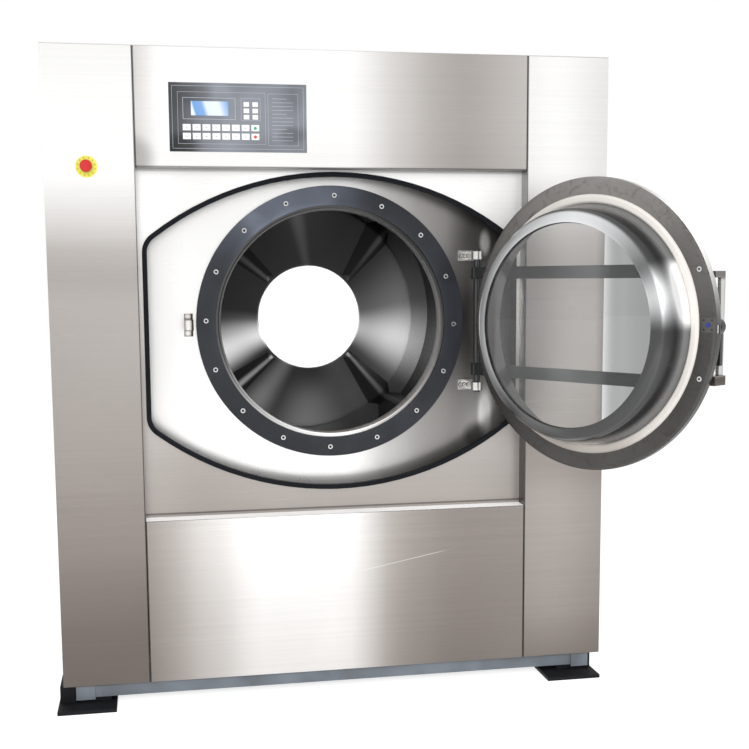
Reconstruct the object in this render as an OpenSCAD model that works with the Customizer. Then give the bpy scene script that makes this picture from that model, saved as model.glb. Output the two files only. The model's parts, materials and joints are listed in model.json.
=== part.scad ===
// Industrial washing machine: stainless cabinet, sprung tub, perforated drum and a round side-hung door.
// Millimetres. +Z is up and the front faces -Y. The origin is on the floor, in the middle of the four
// anchor holes. Depths named "..._y" are measured back from the plane of the front panels.

/* [Cabinet] */
// Overall width of the cabinet
body_w = 1650; // [1500:10:1900]
// Depth of the cabinet from front panels to rear panel
body_d = 1500; // [1480:10:1900]
// Height of the sheet panels
panels_h = 1832; // [1780:4:2000]
// Height of the panels' lower edge above the floor
ground_gap = 60; // [50:1:80]
// Width of each front column
column_w = 250; // [180:5:256]
// Height of the top fascia
fascia_h = 333; // [290:1:345]
// Height of the lower access panel
lower_panel_h = 484; // [440:1:500]
// Depth of the recess behind the front panels
recess_depth = 56; // [40:1:60]
// Thickness of the sheet metal
sheet = 2; // [1:0.5:3]
// Gap between neighbouring front panels
seam = 1.5; // [0.5:0.5:3]
// Depth of the folded edges of the sheets
fold = 40; // [20:1:50]

/* [Cut-out] */
// Distance from the trim to the front columns
cutout_side = 12; // [8:1:40]
// Drop from the cabinet top to the crown of the trim
cutout_top_drop = 338; // [334:1:346]
// Drop from the cabinet top to the lowest point of the trim
cutout_low_drop = 1283; // [1260:1:1320]
// Radius of the long upper and lower arcs
cutout_arc_r = 886; // [800:5:1000]
// Radius of the four corners
cutout_corner_r = 65; // [50:1:120]
// Width of the trim seen from the front
trim_w = 14; // [10:1:20]
// Thickness of the trim from front to back
trim_t = 16; // [10:1:24]
// How far the trim's lips cover the sheet
trim_lip = 6; // [4:1:8]

/* [Base] */
// Distance of the frame from the cabinet sides
frame_inset = 35; // [20:1:60]
// Width of the frame's beams
beam_w = 80; // [60:1:100]
// Height of the frame's beams
beam_h = 122; // [100:1:140]
// Thickness of the rubber pads on the floor
pad_t = 11; // [8:1:16]
// Thickness of the blocks between pads and frame
pad_block_t = 11; // [8:1:16]
// Width of each pad
pad_w = 168; // [150:1:200]
// How far each pad reaches out in front of or behind the cabinet
pad_reach = 66; // [40:1:100]
// How far each pad reaches in under the cabinet
pad_under = 140; // [130:1:200]
// How far the left pads reach out beyond the cabinet's side
left_pad_out = 15; // [0:1:30]
// How far the right pads end short of the cabinet's side
right_pad_in = 22; // [0:1:30]
// Radius of the anchor holes
anchor_r = 9; // [6:0.5:11]
// Depth of the anchor holes in the frame
anchor_depth = 60; // [40:1:90]

/* [Tub] */
// Drop from the cabinet top to the drum axis
axis_drop = 782; // [770:1:800]
// Depth of the mouth ring's front face
ring_y = 121.5; // [118:0.5:126]
// Thickness of the mouth ring
ring_t = 8; // [6:1:12]
// Outer radius of the mouth ring
ring_out_r = 410; // [400:1:416]
// Inner radius of the mouth ring
ring_in_r = 351.5; // [350:0.5:358]
// Number of ring screws
ring_screws = 16; // [8:1:24]
// Radius of the ring's screw circle
ring_screw_circle_r = 381; // [372:1:392]
// Turn of the screw circle from twelve o'clock
ring_screw_turn = 1.5; // [-10:0.5:10]
// Radius of the ring screws' heads
screw_head_r = 7.5; // [5:0.5:9]
// Inner radius of the steel lip in the mouth
lip_in_r = 338; // [336:1:340]
// Wall of the steel lip
lip_wall = 6; // [3:1:8]
// How far the lip stands out in front of the ring
lip_proud = 6.5; // [3:0.5:8]
// Thickness of the tub's front plate
front_plate_t = 8; // [6:1:12]
// Outer radius of the tub
tub_r = 551; // [545:1:556]
// Wall of the tub
tub_wall = 6; // [4:1:8]
// Depth of the tub's rear plate
tub_back_y = 1010; // [990:5:1020]
// Thickness of the tub's rear plate
rear_plate_t = 12; // [8:1:20]
// How far the tub moves up or down on its springs
bounce = 12; // [5:1:15]

/* [Drum] */
// Space between the tub and the drum
drum_gap = 51; // [41:1:61]
// Wall of the drum
drum_wall = 4; // [2:1:6]
// Gap between the tub's lip and the drum's front
mouth_gap = 5; // [3:1:10]
// Depth of the drum's back
drum_back_y = 930; // [900:5:950]
// Radius of the hub cover in the middle of the back
hub_cover_r = 181; // [150:1:200]
// Depth of the hub cover
hub_cover_y = 645; // [600:5:700]
// Radius where the cone meets the flat rim of the back
cone_r = 425; // [400:1:440]
// Height of the ribs on the cone at their outer end
rib_h = 40; // [24:1:48]
// Height of the lifters on the drum wall
lifter_h = 62; // [50:1:64]
// Width of the lifters on the drum wall
lifter_w = 112; // [80:1:140]
// Number of lifters
lifters = 4; // [3:1:4]

/* [Door] */
// Angle that the door stands open
open_angle = 122.5; // [95:0.5:135]
// Sideways place of the hinge axis
hinge_x = 437.4; // [432:0.1:460]
// Depth of the hinge axis
hinge_y = 60.6; // [58:0.1:64]
// Radius of the hinge shaft
hinge_r = 10; // [8:0.5:12]
// Height of the hinge knuckles above and below the drum axis
knuckle_z = 199; // [190:1:215]
// Outer radius of the door's rim
rim_r = 403; // [396:1:406]
// Thickness of the door's rim
rim_t = 30; // [28:1:36]
// Gap between the closed door's rim and the mouth ring
rim_gap = 14; // [12:1:18]
// Outer radius of the door seal
seal_out_r = 356; // [352:1:360]
// Depth of the seal's groove in the rim
seal_groove = 8; // [6:1:10]
// Radius of the bowl where it leaves the rim
bowl_base_r = 331; // [326:0.5:331]
// Radius of the bowl at its end
bowl_end_r = 316; // [308:1:320]
// How far the bowl stands in from the rim
bowl_depth = 100; // [70:1:120]
// Wall of the bowl
bowl_wall = 3; // [2:0.5:4]
// Radius of the bowl's edge
bowl_edge_r = 16; // [10:1:24]
// Radius of the view through the glass
view_r = 278; // [250:1:285]
// Thickness of the glass
glass_t = 10; // [6:1:14]
// Height of the door arms above and below the drum axis
arm_z = 146; // [138:1:150]
// Height of each door arm
arm_h = 36; // [30:1:40]
// Thickness of each door arm
arm_t = 12; // [8:1:14]
// Sideways place of the grab bar
grab_x = 371; // [366:1:374]
// Radius of the grab bar
grab_r = 9.5; // [8:0.5:11]
// Gap for the fingers behind the grab bar
grab_gap = 36; // [34:1:44]
// Sideways place of the latch spindle
latch_x = 381; // [379:1:384]
// Height of the latch spindle above the drum axis
latch_z = 4; // [0:1:8]
// Radius of the latch hub
latch_hub_r = 21; // [18:1:24]
// Length of the latch lever
lever_len = 100; // [80:1:106]
// Width of the square latch plate
latch_plate_w = 38; // [30:1:40]
// Travel of the latch tongue
tongue_travel = 30; // [26:1:32]

/* [Controls] */
// Distance from the left column to the keypad
keypad_inset = 98; // [60:1:115]
// Drop from the cabinet top to the keypad's upper edge
keypad_drop = 99; // [80:1:120]
// Width of the keypad
keypad_w = 390; // [380:1:400]
// Height of the keypad
keypad_h = 191; // [185:1:200]
// Thickness of the keypad's film
film_t = 0.8; // [0.5:0.1:1.2]
// Height of the raised keys
key_t = 0.8; // [0.4:0.1:1.5]
// Distance from the cabinet's left side to the stop button
stop_inset = 117; // [85:1:145]
// Drop from the cabinet top to the stop button
stop_drop = 334; // [320:1:350]
// Radius of the yellow plate behind the stop button
stop_plate_r = 30; // [26:1:34]
// Radius of the stop button's head
stop_head_r = 17; // [15:0.5:20]
// Travel of the stop button
stop_travel = 4; // [3:0.5:6]

/* [Drive] */
// Radius of the drum shaft
shaft_r = 45; // [38:1:50]
// Outer radius of the shaft's bearings
bearing_r = 80; // [75:1:90]
// Width of each bearing
bearing_w = 42; // [36:1:46]
// Length of the bearing housing
housing_len = 220; // [200:5:230]
// Wall of the bearing housing
housing_wall = 24; // [16:1:30]
// Radius of the bearing housing's flange
housing_flange_r = 230; // [220:5:260]
// Thickness of the bearing housing's flange
housing_flange_t = 14; // [10:1:20]
// Length of the bearing housing's ribs
housing_rib_len = 110; // [80:5:140]
// Radius of the drum pulley's groove
pulley_r = 330; // [300:5:340]
// Width of the pulleys
pulley_w = 70; // [60:1:74]
// Height of the pulleys' side flanges
pulley_flange = 12; // [8:1:14]
// Radius of the motor pulley's groove
motor_pulley_r = 66; // [60:1:80]
// Thickness of the belts
belt_t = 9; // [6:0.5:10]
// Sideways place of the motor shaft
motor_x = 400; // [390:5:420]
// Height of the motor shaft
motor_z = 300; // [296:1:304]
// Radius of the motor
motor_r = 125; // [110:1:125]
// Length of the motor
motor_len = 330; // [300:5:340]
// Radius of the motor shaft
motor_shaft_r = 19; // [16:1:24]

/* [Suspension] */
// Sideways place of the springs
spring_x = 610; // [608:1:612]
// Outer radius of the springs
spring_r = 55; // [45:1:60]
// Inner radius of the springs
spring_in_r = 40; // [34:1:42]
// Height of the rails' lower faces
rail_z = 500; // [490:1:510]
// Thickness of the rails
rail_t = 20; // [15:1:24]
// Outer radius of the dampers
damper_r = 32; // [30:1:40]
// Bore of the dampers
damper_bore_r = 27; // [24:0.5:28]
// Radius of the damper rods
damper_rod_r = 12; // [10:1:14]

/* [Services] */
// Height of the water inlets
inlet_z = 1700; // [1690:5:1760]
// Distance from the cabinet's left side to the first water inlet
inlet_inset = 305; // [225:5:325]
// Distance between the water inlets
inlet_pitch = 130; // [110:1:150]
// Radius of the inlets' threaded stubs
inlet_r = 13.2; // [10:0.1:17]
// Length of the inlets' threaded stubs
inlet_len = 24; // [18:1:30]
// Height of the drain outlet's axis
drain_z = 250; // [240:1:260]
// Bore of the drain outlet
drain_bore_r = 50; // [40:1:52]
// Wall of the drain outlet
drain_wall = 4; // [3:1:5]
// How far the drain outlet reaches out behind the cabinet
drain_reach = 60; // [40:1:80]
// Width of the drain valve's body
valve_w = 150; // [130:5:160]
// Height of the drain valve's body
valve_h = 60; // [50:2:64]
// Wall of the collar at the drain outlet's end
drain_collar = 3; // [2:0.5:5]
// Distance from the cabinet's right side to the cable gland
gland_inset = 265; // [200:5:300]
// Radius of the cable gland's hole
gland_r = 16.5; // [12.5:0.5:20.5]
// Distance from the cabinet's right side to the roof vent
vent_inset = 345; // [300:5:500]
// Distance from the rear panel to the roof vent
vent_back = 260; // [150:5:400]
// Inner radius of the roof vent
vent_r = 52; // [40:1:75]
// Height of the roof vent
vent_h = 46; // [30:1:80]
// Width of the electrical box
box_w = 178; // [120:2:185]
// Depth of the electrical box
box_d = 210; // [150:5:260]
// Height of the electrical box
box_h = 580; // [400:10:650]
// Height of the electrical box's floor
box_z = 900; // [700:10:950]
// Wall of the electrical box
box_wall = 6; // [3:1:8]

/* [Hidden] */
$fn = 96;
// Clearance between a rotating shaft and its bearing
running = 0.05;
// Clearance between pieces that lie close to each other
near = 0.3;
// Overcut that keeps cutting tools clear of faces
over = 1;
steel = [0.72, 0.71, 0.69];
polished = [0.83, 0.82, 0.80];
dark = [0.16, 0.17, 0.18];
blue_grey = [0.47, 0.51, 0.55];
cast = [0.33, 0.35, 0.37];

front_y = -body_d / 2;
top_z = ground_gap + panels_h;
wall_top_z = top_z - sheet;
axis_z = top_z - axis_drop;
inner_half_w = body_w / 2 - column_w;
cutout_half_w = inner_half_w - cutout_side;
fascia_z = top_z - fascia_h;
lower_top_z = ground_gap + lower_panel_h;
frame_z = pad_t + pad_block_t;
frame_top_z = frame_z + beam_h;
frame_half_w = body_w / 2 - frame_inset;
frame_front_y = 12;
frame_back_y = body_d - frame_front_y;
anchor_x = frame_half_w - beam_w / 2;
anchor_y = frame_front_y + beam_w / 2;
cross_w = 120;
cross_y = [320, 860];
tub_front_y = ring_y + ring_t;
tub_plate_back_y = tub_front_y + front_plate_t;
lip_front_y = ring_y - lip_proud;
neck_back_y = tub_plate_back_y + 28;
drum_front_y = neck_back_y + mouth_gap;
drum_out_r = tub_r - tub_wall - drum_gap;
drum_r = drum_out_r - drum_wall;
rim_in_y = ring_y - rim_gap;
rim_out_y = rim_in_y - rim_t;
seal_floor_y = rim_in_y - seal_groove;
bowl_end_y = rim_in_y + bowl_depth;
glass_front_y = bowl_end_y - bowl_wall - glass_t;
glass_r = view_r + 6;
gasket_r = glass_r + 7;
slide_gap = 2.5;
tongue_w = 11;
tongue_y = seal_floor_y - tongue_w;
tongue_low = axis_z - 12;
tongue_high = axis_z + 10;
tongue_tip_x = rim_r - 2;
tongue_tail_x = 365;
spindle_r = 8;
stem_r = 8;
tub_rear_face_y = tub_back_y + rear_plate_t;
pulley_y = tub_rear_face_y + housing_len + 22;
damper_x = spring_x - 100;
rail_in_x = damper_x - 40;
rail_out_x = spring_x + 80;
rail_front_y = 200;
rail_back_y = 1020;
saddle_y = [300, 880];
saddle_t = 20;
key_w = 22.4;
key_h = 17.7;
small_key_w = 15.8;
small_key_h = 12.8;
keypad_x = -inner_half_w + keypad_inset;
stop_x = -body_w / 2 + stop_inset;
inlet_x = -body_w / 2 + inlet_inset;
gland_x = body_w / 2 - gland_inset;
vent_x = body_w / 2 - vent_inset;
left_pad_x = -body_w / 2 - left_pad_out + pad_w / 2;
right_pad_x = body_w / 2 - right_pad_in - pad_w / 2;
display_w = 104.9;
display_h = 39.6;
hub_cover_t = 8;
plate_half_w = cutout_half_w + 47;
plate_up = 485;
plate_down = 552;

// A depth behind the front panels as a place along Y
function at_depth(y) = front_y + y;

// A box from its lower and upper corners, with depths for Y
module block(x0, x1, y0, y1, z0, z1) {
    translate([x0, at_depth(y0), z0]) cube([x1 - x0, y1 - y0, z1 - z0]);
}

// Turns a shape that stands up into one that points back along the drum axis
module on_axis(y) {
    translate([0, at_depth(y), axis_z]) rotate([-90, 0, 0]) children();
}

// A shape pointing back from any place
module pointing_back(x, y, z) {
    translate([x, at_depth(y), z]) rotate([-90, 0, 0]) children();
}

module tube(r_out, r_in, len) {
    difference() {
        cylinder(r = r_out, h = len);
        translate([0, 0, -over]) cylinder(r = r_in, h = len + 2 * over);
    }
}

// The children twice, left and right
module both_sides() {
    children();
    mirror([1, 0, 0]) children();
}

// Puts a door piece, drawn shut, where the open door stands
module door_open() {
    translate([hinge_x, at_depth(hinge_y), 0])
        rotate([0, 0, open_angle])
            translate([-hinge_x, -at_depth(hinge_y), 0])
                children();
}

// Points of an arc in the plane of the front, angles in degrees
function arc_points(x, z, r, from, to, steps) =
    [for (i = [0:steps]) let (a = from + (to - from) * i / steps) [x + r * cos(a), z + r * sin(a)]];

// Half height of the corner's centre above the centre of its long arc
function corner_rise(r) = sqrt(pow(cutout_arc_r - r, 2) - pow(cutout_half_w - r, 2));

// Barrel-shaped outline of the cut-out, drawn in by inset, in the plane of the front
function barrel(inset) =
    let (
        r = cutout_corner_r,
        cx = cutout_half_w - r,
        high_z = top_z - cutout_top_drop - cutout_arc_r,
        low_z = top_z - cutout_low_drop + cutout_arc_r,
        turn = atan2(corner_rise(r), cx),
        high_corner_z = high_z + corner_rise(r),
        low_corner_z = low_z - corner_rise(r)
    )
    concat(
        arc_points(0, high_z, cutout_arc_r - inset, turn, 180 - turn, 24),
        arc_points(-cx, high_corner_z, r - inset, 180 - turn, 180, 6),
        arc_points(-cx, low_corner_z, r - inset, 180, 180 + turn, 6),
        arc_points(0, low_z, cutout_arc_r - inset, 180 + turn, 360 - turn, 24),
        arc_points(cx, low_corner_z, r - inset, 360 - turn, 360, 6),
        arc_points(cx, high_corner_z, r - inset, 0, turn, 6)
    );

// A plate in the plane of the front, from depth y0 to y1
module front_plate(y0, y1) {
    translate([0, at_depth(y1), 0]) rotate([90, 0, 0]) linear_extrude(y1 - y0) children();
}

// Cabinet

module base_frame() {
    color(blue_grey) difference() {
        union() {
            both_sides() block(frame_half_w - beam_w, frame_half_w, frame_front_y, frame_back_y,
                frame_z, frame_top_z);
            for (y = [frame_front_y, frame_back_y - beam_w])
                block(-frame_half_w, frame_half_w, y, y + beam_w, frame_z, frame_top_z);
            for (y = cross_y)
                block(-frame_half_w, frame_half_w, y - cross_w / 2, y + cross_w / 2, frame_z, frame_top_z);
            both_sides() block(frame_half_w - 55, frame_half_w, frame_front_y - 6, frame_front_y,
                frame_z - 5, ground_gap - near);
        }
        for (x = [-anchor_x, anchor_x], y = [anchor_y, body_d - anchor_y])
            translate([x, at_depth(y), frame_z - over]) cylinder(r = anchor_r, h = anchor_depth + over);
    }
}

// One rubber foot: a pad that reaches out, a block under the frame and a lip beside it
module foot(pad_x, side, front) {
    y0 = front ? -pad_reach : body_d - pad_under;
    y1 = front ? pad_under : body_d + pad_reach;
    hole_x = side * anchor_x;
    hole_y = front ? anchor_y : body_d - anchor_y;
    lip_x = side * (frame_half_w + near);
    pad_edge = side > 0 ? pad_x + pad_w / 2 : -(pad_x - pad_w / 2);
    lip_w = pad_edge - frame_half_w - near - 4;
    lip_y = front ? frame_front_y : body_d - pad_under + 20;
    difference() {
        union() {
            block(pad_x - pad_w / 2, pad_x + pad_w / 2, y0, y1, 0, pad_t);
            block(min(hole_x - side * 60, hole_x + side * 34), max(hole_x - side * 60, hole_x + side * 34),
                hole_y - 38, hole_y + 60, pad_t, frame_z);
            block(min(lip_x, lip_x + side * lip_w), max(lip_x, lip_x + side * lip_w),
                lip_y, lip_y + 108, pad_t, ground_gap - near);
        }
        translate([hole_x, at_depth(hole_y), -over]) cylinder(r = anchor_r, h = frame_z + 2 * over);
    }
}

module isolator_feet() {
    color(dark) {
        foot(left_pad_x, -1, true);
        foot(right_pad_x, 1, true);
        foot(left_pad_x, -1, false);
        foot(right_pad_x, 1, false);
    }
}

// Folded front column: face, outer fold and the wall of the recess
module column() {
    block(inner_half_w, body_w / 2, 0, sheet, ground_gap, wall_top_z);
    block(body_w / 2 - sheet, body_w / 2, 0, fold, ground_gap, wall_top_z);
    block(inner_half_w, inner_half_w + sheet, 0, recess_depth, frame_top_z, wall_top_z);
}

module left_column() {
    color(steel) difference() {
        mirror([1, 0, 0]) column();
        pointing_back(stop_x, -over, top_z - stop_drop) cylinder(r = 11.2, h = sheet + 2 * over);
    }
}

module right_column() {
    color(steel) column();
}

module top_fascia() {
    half_w = inner_half_w - seam;
    color(steel) difference() {
        union() {
            block(-half_w, half_w, 0, sheet, fascia_z, wall_top_z);
            block(-half_w, half_w, 0, recess_depth, fascia_z, fascia_z + sheet);
            both_sides() block(half_w - sheet, half_w, 0, fold, fascia_z, wall_top_z);
        }
        display_cut(2, -over, sheet + over);
    }
}

module lower_access_panel() {
    half_w = inner_half_w - seam;
    color(steel) union() {
        block(-half_w, half_w, 0, sheet, ground_gap, lower_top_z);
        block(-half_w, half_w, 0, recess_depth, lower_top_z - sheet, lower_top_z);
        both_sides() block(half_w - sheet, half_w, 0, fold, frame_top_z, lower_top_z);
    }
}

module recess_panel() {
    cover = 16;
    color(steel) front_plate(recess_depth, recess_depth + sheet) difference() {
        translate([-inner_half_w - cover, lower_top_z - cover])
            square([2 * (inner_half_w + cover), fascia_z - lower_top_z + 2 * cover]);
        polygon(barrel(trim_lip));
    }
}

module cutout_trim() {
    back_y = recess_depth + sheet + trim_t / 2;
    color(dark) difference() {
        front_plate(back_y - trim_t, back_y) difference() {
            polygon(barrel(0));
            polygon(barrel(trim_w));
        }
        front_plate(recess_depth, recess_depth + sheet) difference() {
            polygon(barrel(-over));
            polygon(barrel(trim_lip));
        }
    }
}

// Side wall with a row of vents low at the back
module side_panel() {
    color(steel) difference() {
        block(body_w / 2 - sheet, body_w / 2, fold, body_d, ground_gap, wall_top_z);
        for (i = [0:7])
            block(body_w / 2 - sheet - over, body_w / 2 + over, body_d - 420, body_d - 180,
                300 + i * 30, 308 + i * 30);
    }
}

module left_side_panel() {
    mirror([1, 0, 0]) side_panel();
}

module right_side_panel() {
    side_panel();
}

module roof_panel() {
    vent_y = body_d - vent_back;
    vent_wall = 4;
    color(steel) difference() {
        union() {
            block(-body_w / 2, body_w / 2, 0, body_d, wall_top_z, top_z);
            translate([vent_x, at_depth(vent_y), top_z]) cylinder(r = vent_r + vent_wall, h = vent_h);
        }
        translate([vent_x, at_depth(vent_y), wall_top_z - over])
            cylinder(r = vent_r, h = vent_h + sheet + 2 * over);
    }
}

cover_x = 520;
cover_z = [150, 1480];

module rear_panel() {
    half_w = body_w / 2 - sheet;
    color(steel) difference() {
        block(-half_w, half_w, body_d - sheet, body_d, ground_gap, wall_top_z);
        block(-cover_x + 30, cover_x - 30, body_d - sheet - over, body_d + over, cover_z[0] + 230,
            cover_z[1] - 30);
        for (i = [0:2])
            pointing_back(inlet_x + i * inlet_pitch, body_d - sheet - over, inlet_z)
                cylinder(r = inlet_r + 3, h = sheet + 2 * over);
        pointing_back(0, body_d - sheet - over, drain_z)
            cylinder(r = drain_bore_r + drain_wall + near, h = sheet + 2 * over);
        pointing_back(gland_x, body_d - sheet - over, inlet_z) cylinder(r = gland_r, h = sheet + 2 * over);
    }
}

// Louvred cover over the belts
module drive_cover() {
    low_z = cover_z[0] + 200;
    color(steel) difference() {
        union() {
            block(-cover_x, cover_x, body_d, body_d + sheet, low_z, cover_z[1]);
            block(-cover_x + 60, cover_x - 60, body_d + sheet, body_d + 26, low_z + 60, cover_z[1] - 60);
        }
        block(-cover_x + 60 + sheet, cover_x - 60 - sheet, body_d - over, body_d + 26 - sheet,
            low_z + 60 + sheet, cover_z[1] - 60 - sheet);
        for (i = [0:11])
            block(-300, 300, body_d + 26 - sheet - over, body_d + 26 + over, low_z + 200 + i * 60,
                low_z + 216 + i * 60);
    }
}

module cover_screws() {
    low_z = cover_z[0] + 200;
    color(polished) for (x = [-cover_x + 20, cover_x - 20], i = [0:4])
        pointing_back(x, body_d + sheet, low_z + 25 + i * (cover_z[1] - low_z - 50) / 4)
            cylinder(r = 6, h = 4);
}

// Controls

// Cuts the window of the display through a plate
module display_cut(margin, y0, y1) {
    x = keypad_x + 61.8;
    z = top_z - keypad_drop - 90.4;
    block(x - margin, x + display_w + margin, y0, y1, z - margin, z + display_h + margin);
}

module keypad_film() {
    z = top_z - keypad_drop;
    color([0.2, 0.24, 0.28]) difference() {
        block(keypad_x, keypad_x + keypad_w, -film_t, 0, z - keypad_h, z);
        display_cut(0, -film_t - over, over);
    }
}

// One raised key, placed by its middle from the keypad's upper left corner
module key(x, z, w, h) {
    mid_x = keypad_x + x;
    mid_z = top_z - keypad_drop - z;
    block(mid_x - w / 2, mid_x + w / 2, -film_t - key_t, -film_t, mid_z - h / 2, mid_z + h / 2);
}

module membrane_keys() {
    color("whitesmoke") {
        for (i = [0:7], z = [123.4, 147.7]) key(48.9 + i * 27.6, z, key_w, key_h);
        for (x = [217.8, 242.8], z = [57.9, 75.7, 93.2]) key(x, z, small_key_w, small_key_h);
    }
}

// Display unit: its face fills the film's window and its body hangs behind the fascia
module display() {
    color([0.35, 0.5, 0.75]) union() {
        display_cut(0, -film_t, sheet);
        display_cut(14, sheet, 22);
    }
}

module stop_plate() {
    color([0.95, 0.8, 0.1]) pointing_back(stop_x, -1.5, top_z - stop_drop) tube(stop_plate_r, 11.2, 1.5);
}

module stop_collar() {
    bore_r = stem_r + running;
    color(dark) pointing_back(stop_x, -9.5, top_z - stop_drop) union() {
        tube(14.5, bore_r, 8);
        tube(11, bore_r, 40);
        translate([0, 0, 9.5 + sheet]) tube(20, bore_r, 6);
        translate([-15, -20, 36]) difference() {
            cube([30, 40, 40]);
            translate([15, 20, -over]) cylinder(r = bore_r, h = 30);
        }
    }
}

stem_y = -24;

module stop_stem() {
    color(dark) pointing_back(stop_x, stem_y, top_z - stop_drop) cylinder(r = stem_r, h = 54);
}

module stop_head() {
    head_y = -36;
    bore_r = stem_r + running;
    bore_z = stem_y - head_y - near;
    color([0.8, 0.12, 0.1]) pointing_back(stop_x, head_y, top_z - stop_drop) rotate_extrude()
        polygon([[0, 0], [stop_head_r - 5, 0], [stop_head_r - 1.5, 1.5], [stop_head_r, 5],
            [stop_head_r, 12], [stop_head_r - 4, 16], [12, 21], [bore_r, 21], [bore_r, bore_z],
            [0, bore_z]]);
}

module electrical_box() {
    x0 = -body_w / 2 + sheet;
    y0 = 90;
    color(steel) difference() {
        block(x0, x0 + box_w, y0, y0 + box_d, box_z, box_z + box_h);
        block(x0 + box_wall, x0 + box_w - box_wall, y0 + box_wall, y0 + box_d - box_wall,
            box_z + box_wall, box_z + box_h - box_wall);
        for (i = [0:3])
            translate([x0 + box_w / 2, at_depth(y0 + (i + 1) * box_d / 5), box_z - over])
                cylinder(r = 10, h = box_wall + 2 * over);
    }
}

// Services

module water_valves() {
    color([0.75, 0.65, 0.4]) for (i = [0:2]) {
        x = inlet_x + i * inlet_pitch;
        pointing_back(x, body_d - sheet - 80, inlet_z) tube(24, 10, 80);
        pointing_back(x, body_d - sheet, inlet_z) tube(inlet_r + 1.8, 10, 2 * sheet);
        pointing_back(x, body_d + sheet, inlet_z) tube(inlet_r, 10, inlet_len - sheet);
        translate([x, at_depth(body_d - 50), inlet_z + 20]) cylinder(r = 18, h = 60);
        translate([x, at_depth(body_d - 50), inlet_z - 70]) cylinder(r = 12, h = 50);
    }
}

drain_y = 600;

module drain_outlet() {
    r = drain_bore_r + drain_wall;
    rest_y = cross_y[1] - 30;
    color("dimgray") difference() {
        union() {
            pointing_back(0, drain_y, drain_z) cylinder(r = r, h = body_d + drain_reach - drain_y);
            pointing_back(0, body_d + 4, drain_z) cylinder(r = r + drain_collar, h = drain_reach - 4);
            translate([0, at_depth(drain_y), drain_z]) cylinder(r = r, h = 80);
            translate([0, at_depth(drain_y), drain_z]) sphere(r = r);
            block(-90, 90, rest_y, rest_y + 60, frame_top_z, drain_z - r + 6);
        }
        pointing_back(0, drain_y, drain_z) cylinder(r = drain_bore_r, h = body_d + drain_reach);
        translate([0, at_depth(drain_y), drain_z]) cylinder(r = drain_bore_r, h = 90);
        translate([0, at_depth(drain_y), drain_z]) sphere(r = drain_bore_r);
    }
}

// Rubber bellows between the fixed outlet and the moving valve
module drain_bellows() {
    z0 = drain_z + 80;
    rise = 90;
    color(dark) translate([0, at_depth(drain_y), z0]) rotate_extrude()
        polygon(concat(
            [[drain_bore_r, 0], [drain_bore_r + 4, 0]],
            [for (i = [0:8]) [drain_bore_r + (i % 2 == 0 ? 6 : 14), 5 + i * (rise - 10) / 8]],
            [[drain_bore_r + 4, rise], [drain_bore_r, rise]]
        ));
}

module drain_valve() {
    z0 = drain_z + 80 + 90;
    color("dimgray") difference() {
        translate([0, at_depth(drain_y), 0]) union() {
            translate([0, 0, z0]) cylinder(r = drain_bore_r + 4, h = axis_z - tub_r - z0 + 10);
            translate([-valve_w / 2, -valve_w / 2, z0 + 40]) cube([valve_w, valve_w, valve_h]);
            translate([valve_w / 2, -valve_w / 5, z0 + 45]) cube([110, valve_w * 2 / 5, valve_h - 10]);
        }
        translate([0, at_depth(drain_y), z0 - over]) cylinder(r = drain_bore_r - 6, h = 300);
        on_axis(drain_y - 100) cylinder(r = tub_r, h = 200);
    }
}

// Suspension

// The four corners of the suspension
module at_corners(x) {
    for (side = [-1, 1], y = cross_y) translate([side * x, at_depth(y), frame_top_z]) children();
}

seat_t = 10;

module suspension_springs() {
    color("dimgray") at_corners(spring_x) translate([0, 0, seat_t])
        tube(spring_r, spring_in_r, rail_z - near - seat_t - frame_top_z);
}

// Fixed seats under springs and dampers with the dampers' tubes
module damper_cylinders() {
    color(cast) difference() {
        union() {
            at_corners(damper_x) cylinder(r = damper_r, h = 210);
            for (y = cross_y) both_sides()
                block(rail_in_x, rail_out_x, y - 58, y + 58, frame_top_z, frame_top_z + seat_t);
        }
        at_corners(damper_x) {
            translate([0, 0, 16]) cylinder(r = damper_bore_r, h = 182);
            translate([0, 0, 190]) cylinder(r = damper_rod_r + running, h = 30);
        }
    }
}

module damper_rods() {
    color(polished) at_corners(damper_x) translate([0, 0, 60]) union() {
        cylinder(r = damper_rod_r, h = rail_z - frame_top_z - 60);
        cylinder(r = damper_bore_r - running, h = 24);
    }
}

// Welded cradle that carries the tub and the motor
module tub_cradle() {
    beam = 80;
    beam_x = 380;
    beam_z = motor_z + motor_r + 8;
    saddle_h = 260;
    color(blue_grey) union() {
        both_sides() {
            block(beam_x, beam_x + beam, rail_front_y, rail_back_y + 230, beam_z, beam_z + beam);
            block(rail_in_x, rail_out_x, rail_front_y, rail_back_y, rail_z, rail_z + rail_t);
        }
        for (y = saddle_y) front_plate(y, y + saddle_t) {
            translate([-rail_out_x, rail_z]) square([2 * rail_out_x, rail_t]);
            translate([-beam_x - beam, beam_z + 10])
                square([2 * (beam_x + beam), rail_z + rail_t - beam_z - 10]);
            difference() {
                translate([-beam_x - beam, rail_z]) square([2 * (beam_x + beam), saddle_h]);
                translate([0, axis_z]) circle(r = tub_r);
            }
        }
        block(motor_x - 110, motor_x + 110, pulley_y - 344, pulley_y - 64, beam_z - 8, beam_z);
    }
}

// Tub

module tub_front_plate() {
    color(polished) union() {
        front_plate(tub_front_y, tub_plate_back_y) difference() {
            union() {
                translate([-plate_half_w, axis_z - plate_down])
                    square([2 * plate_half_w, plate_up + plate_down]);
                translate([0, axis_z]) circle(r = tub_r + 9);
            }
            translate([0, axis_z]) circle(r = lip_in_r);
        }
        on_axis(lip_front_y) tube(lip_in_r + lip_wall, lip_in_r, neck_back_y - lip_front_y);
    }
}

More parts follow.
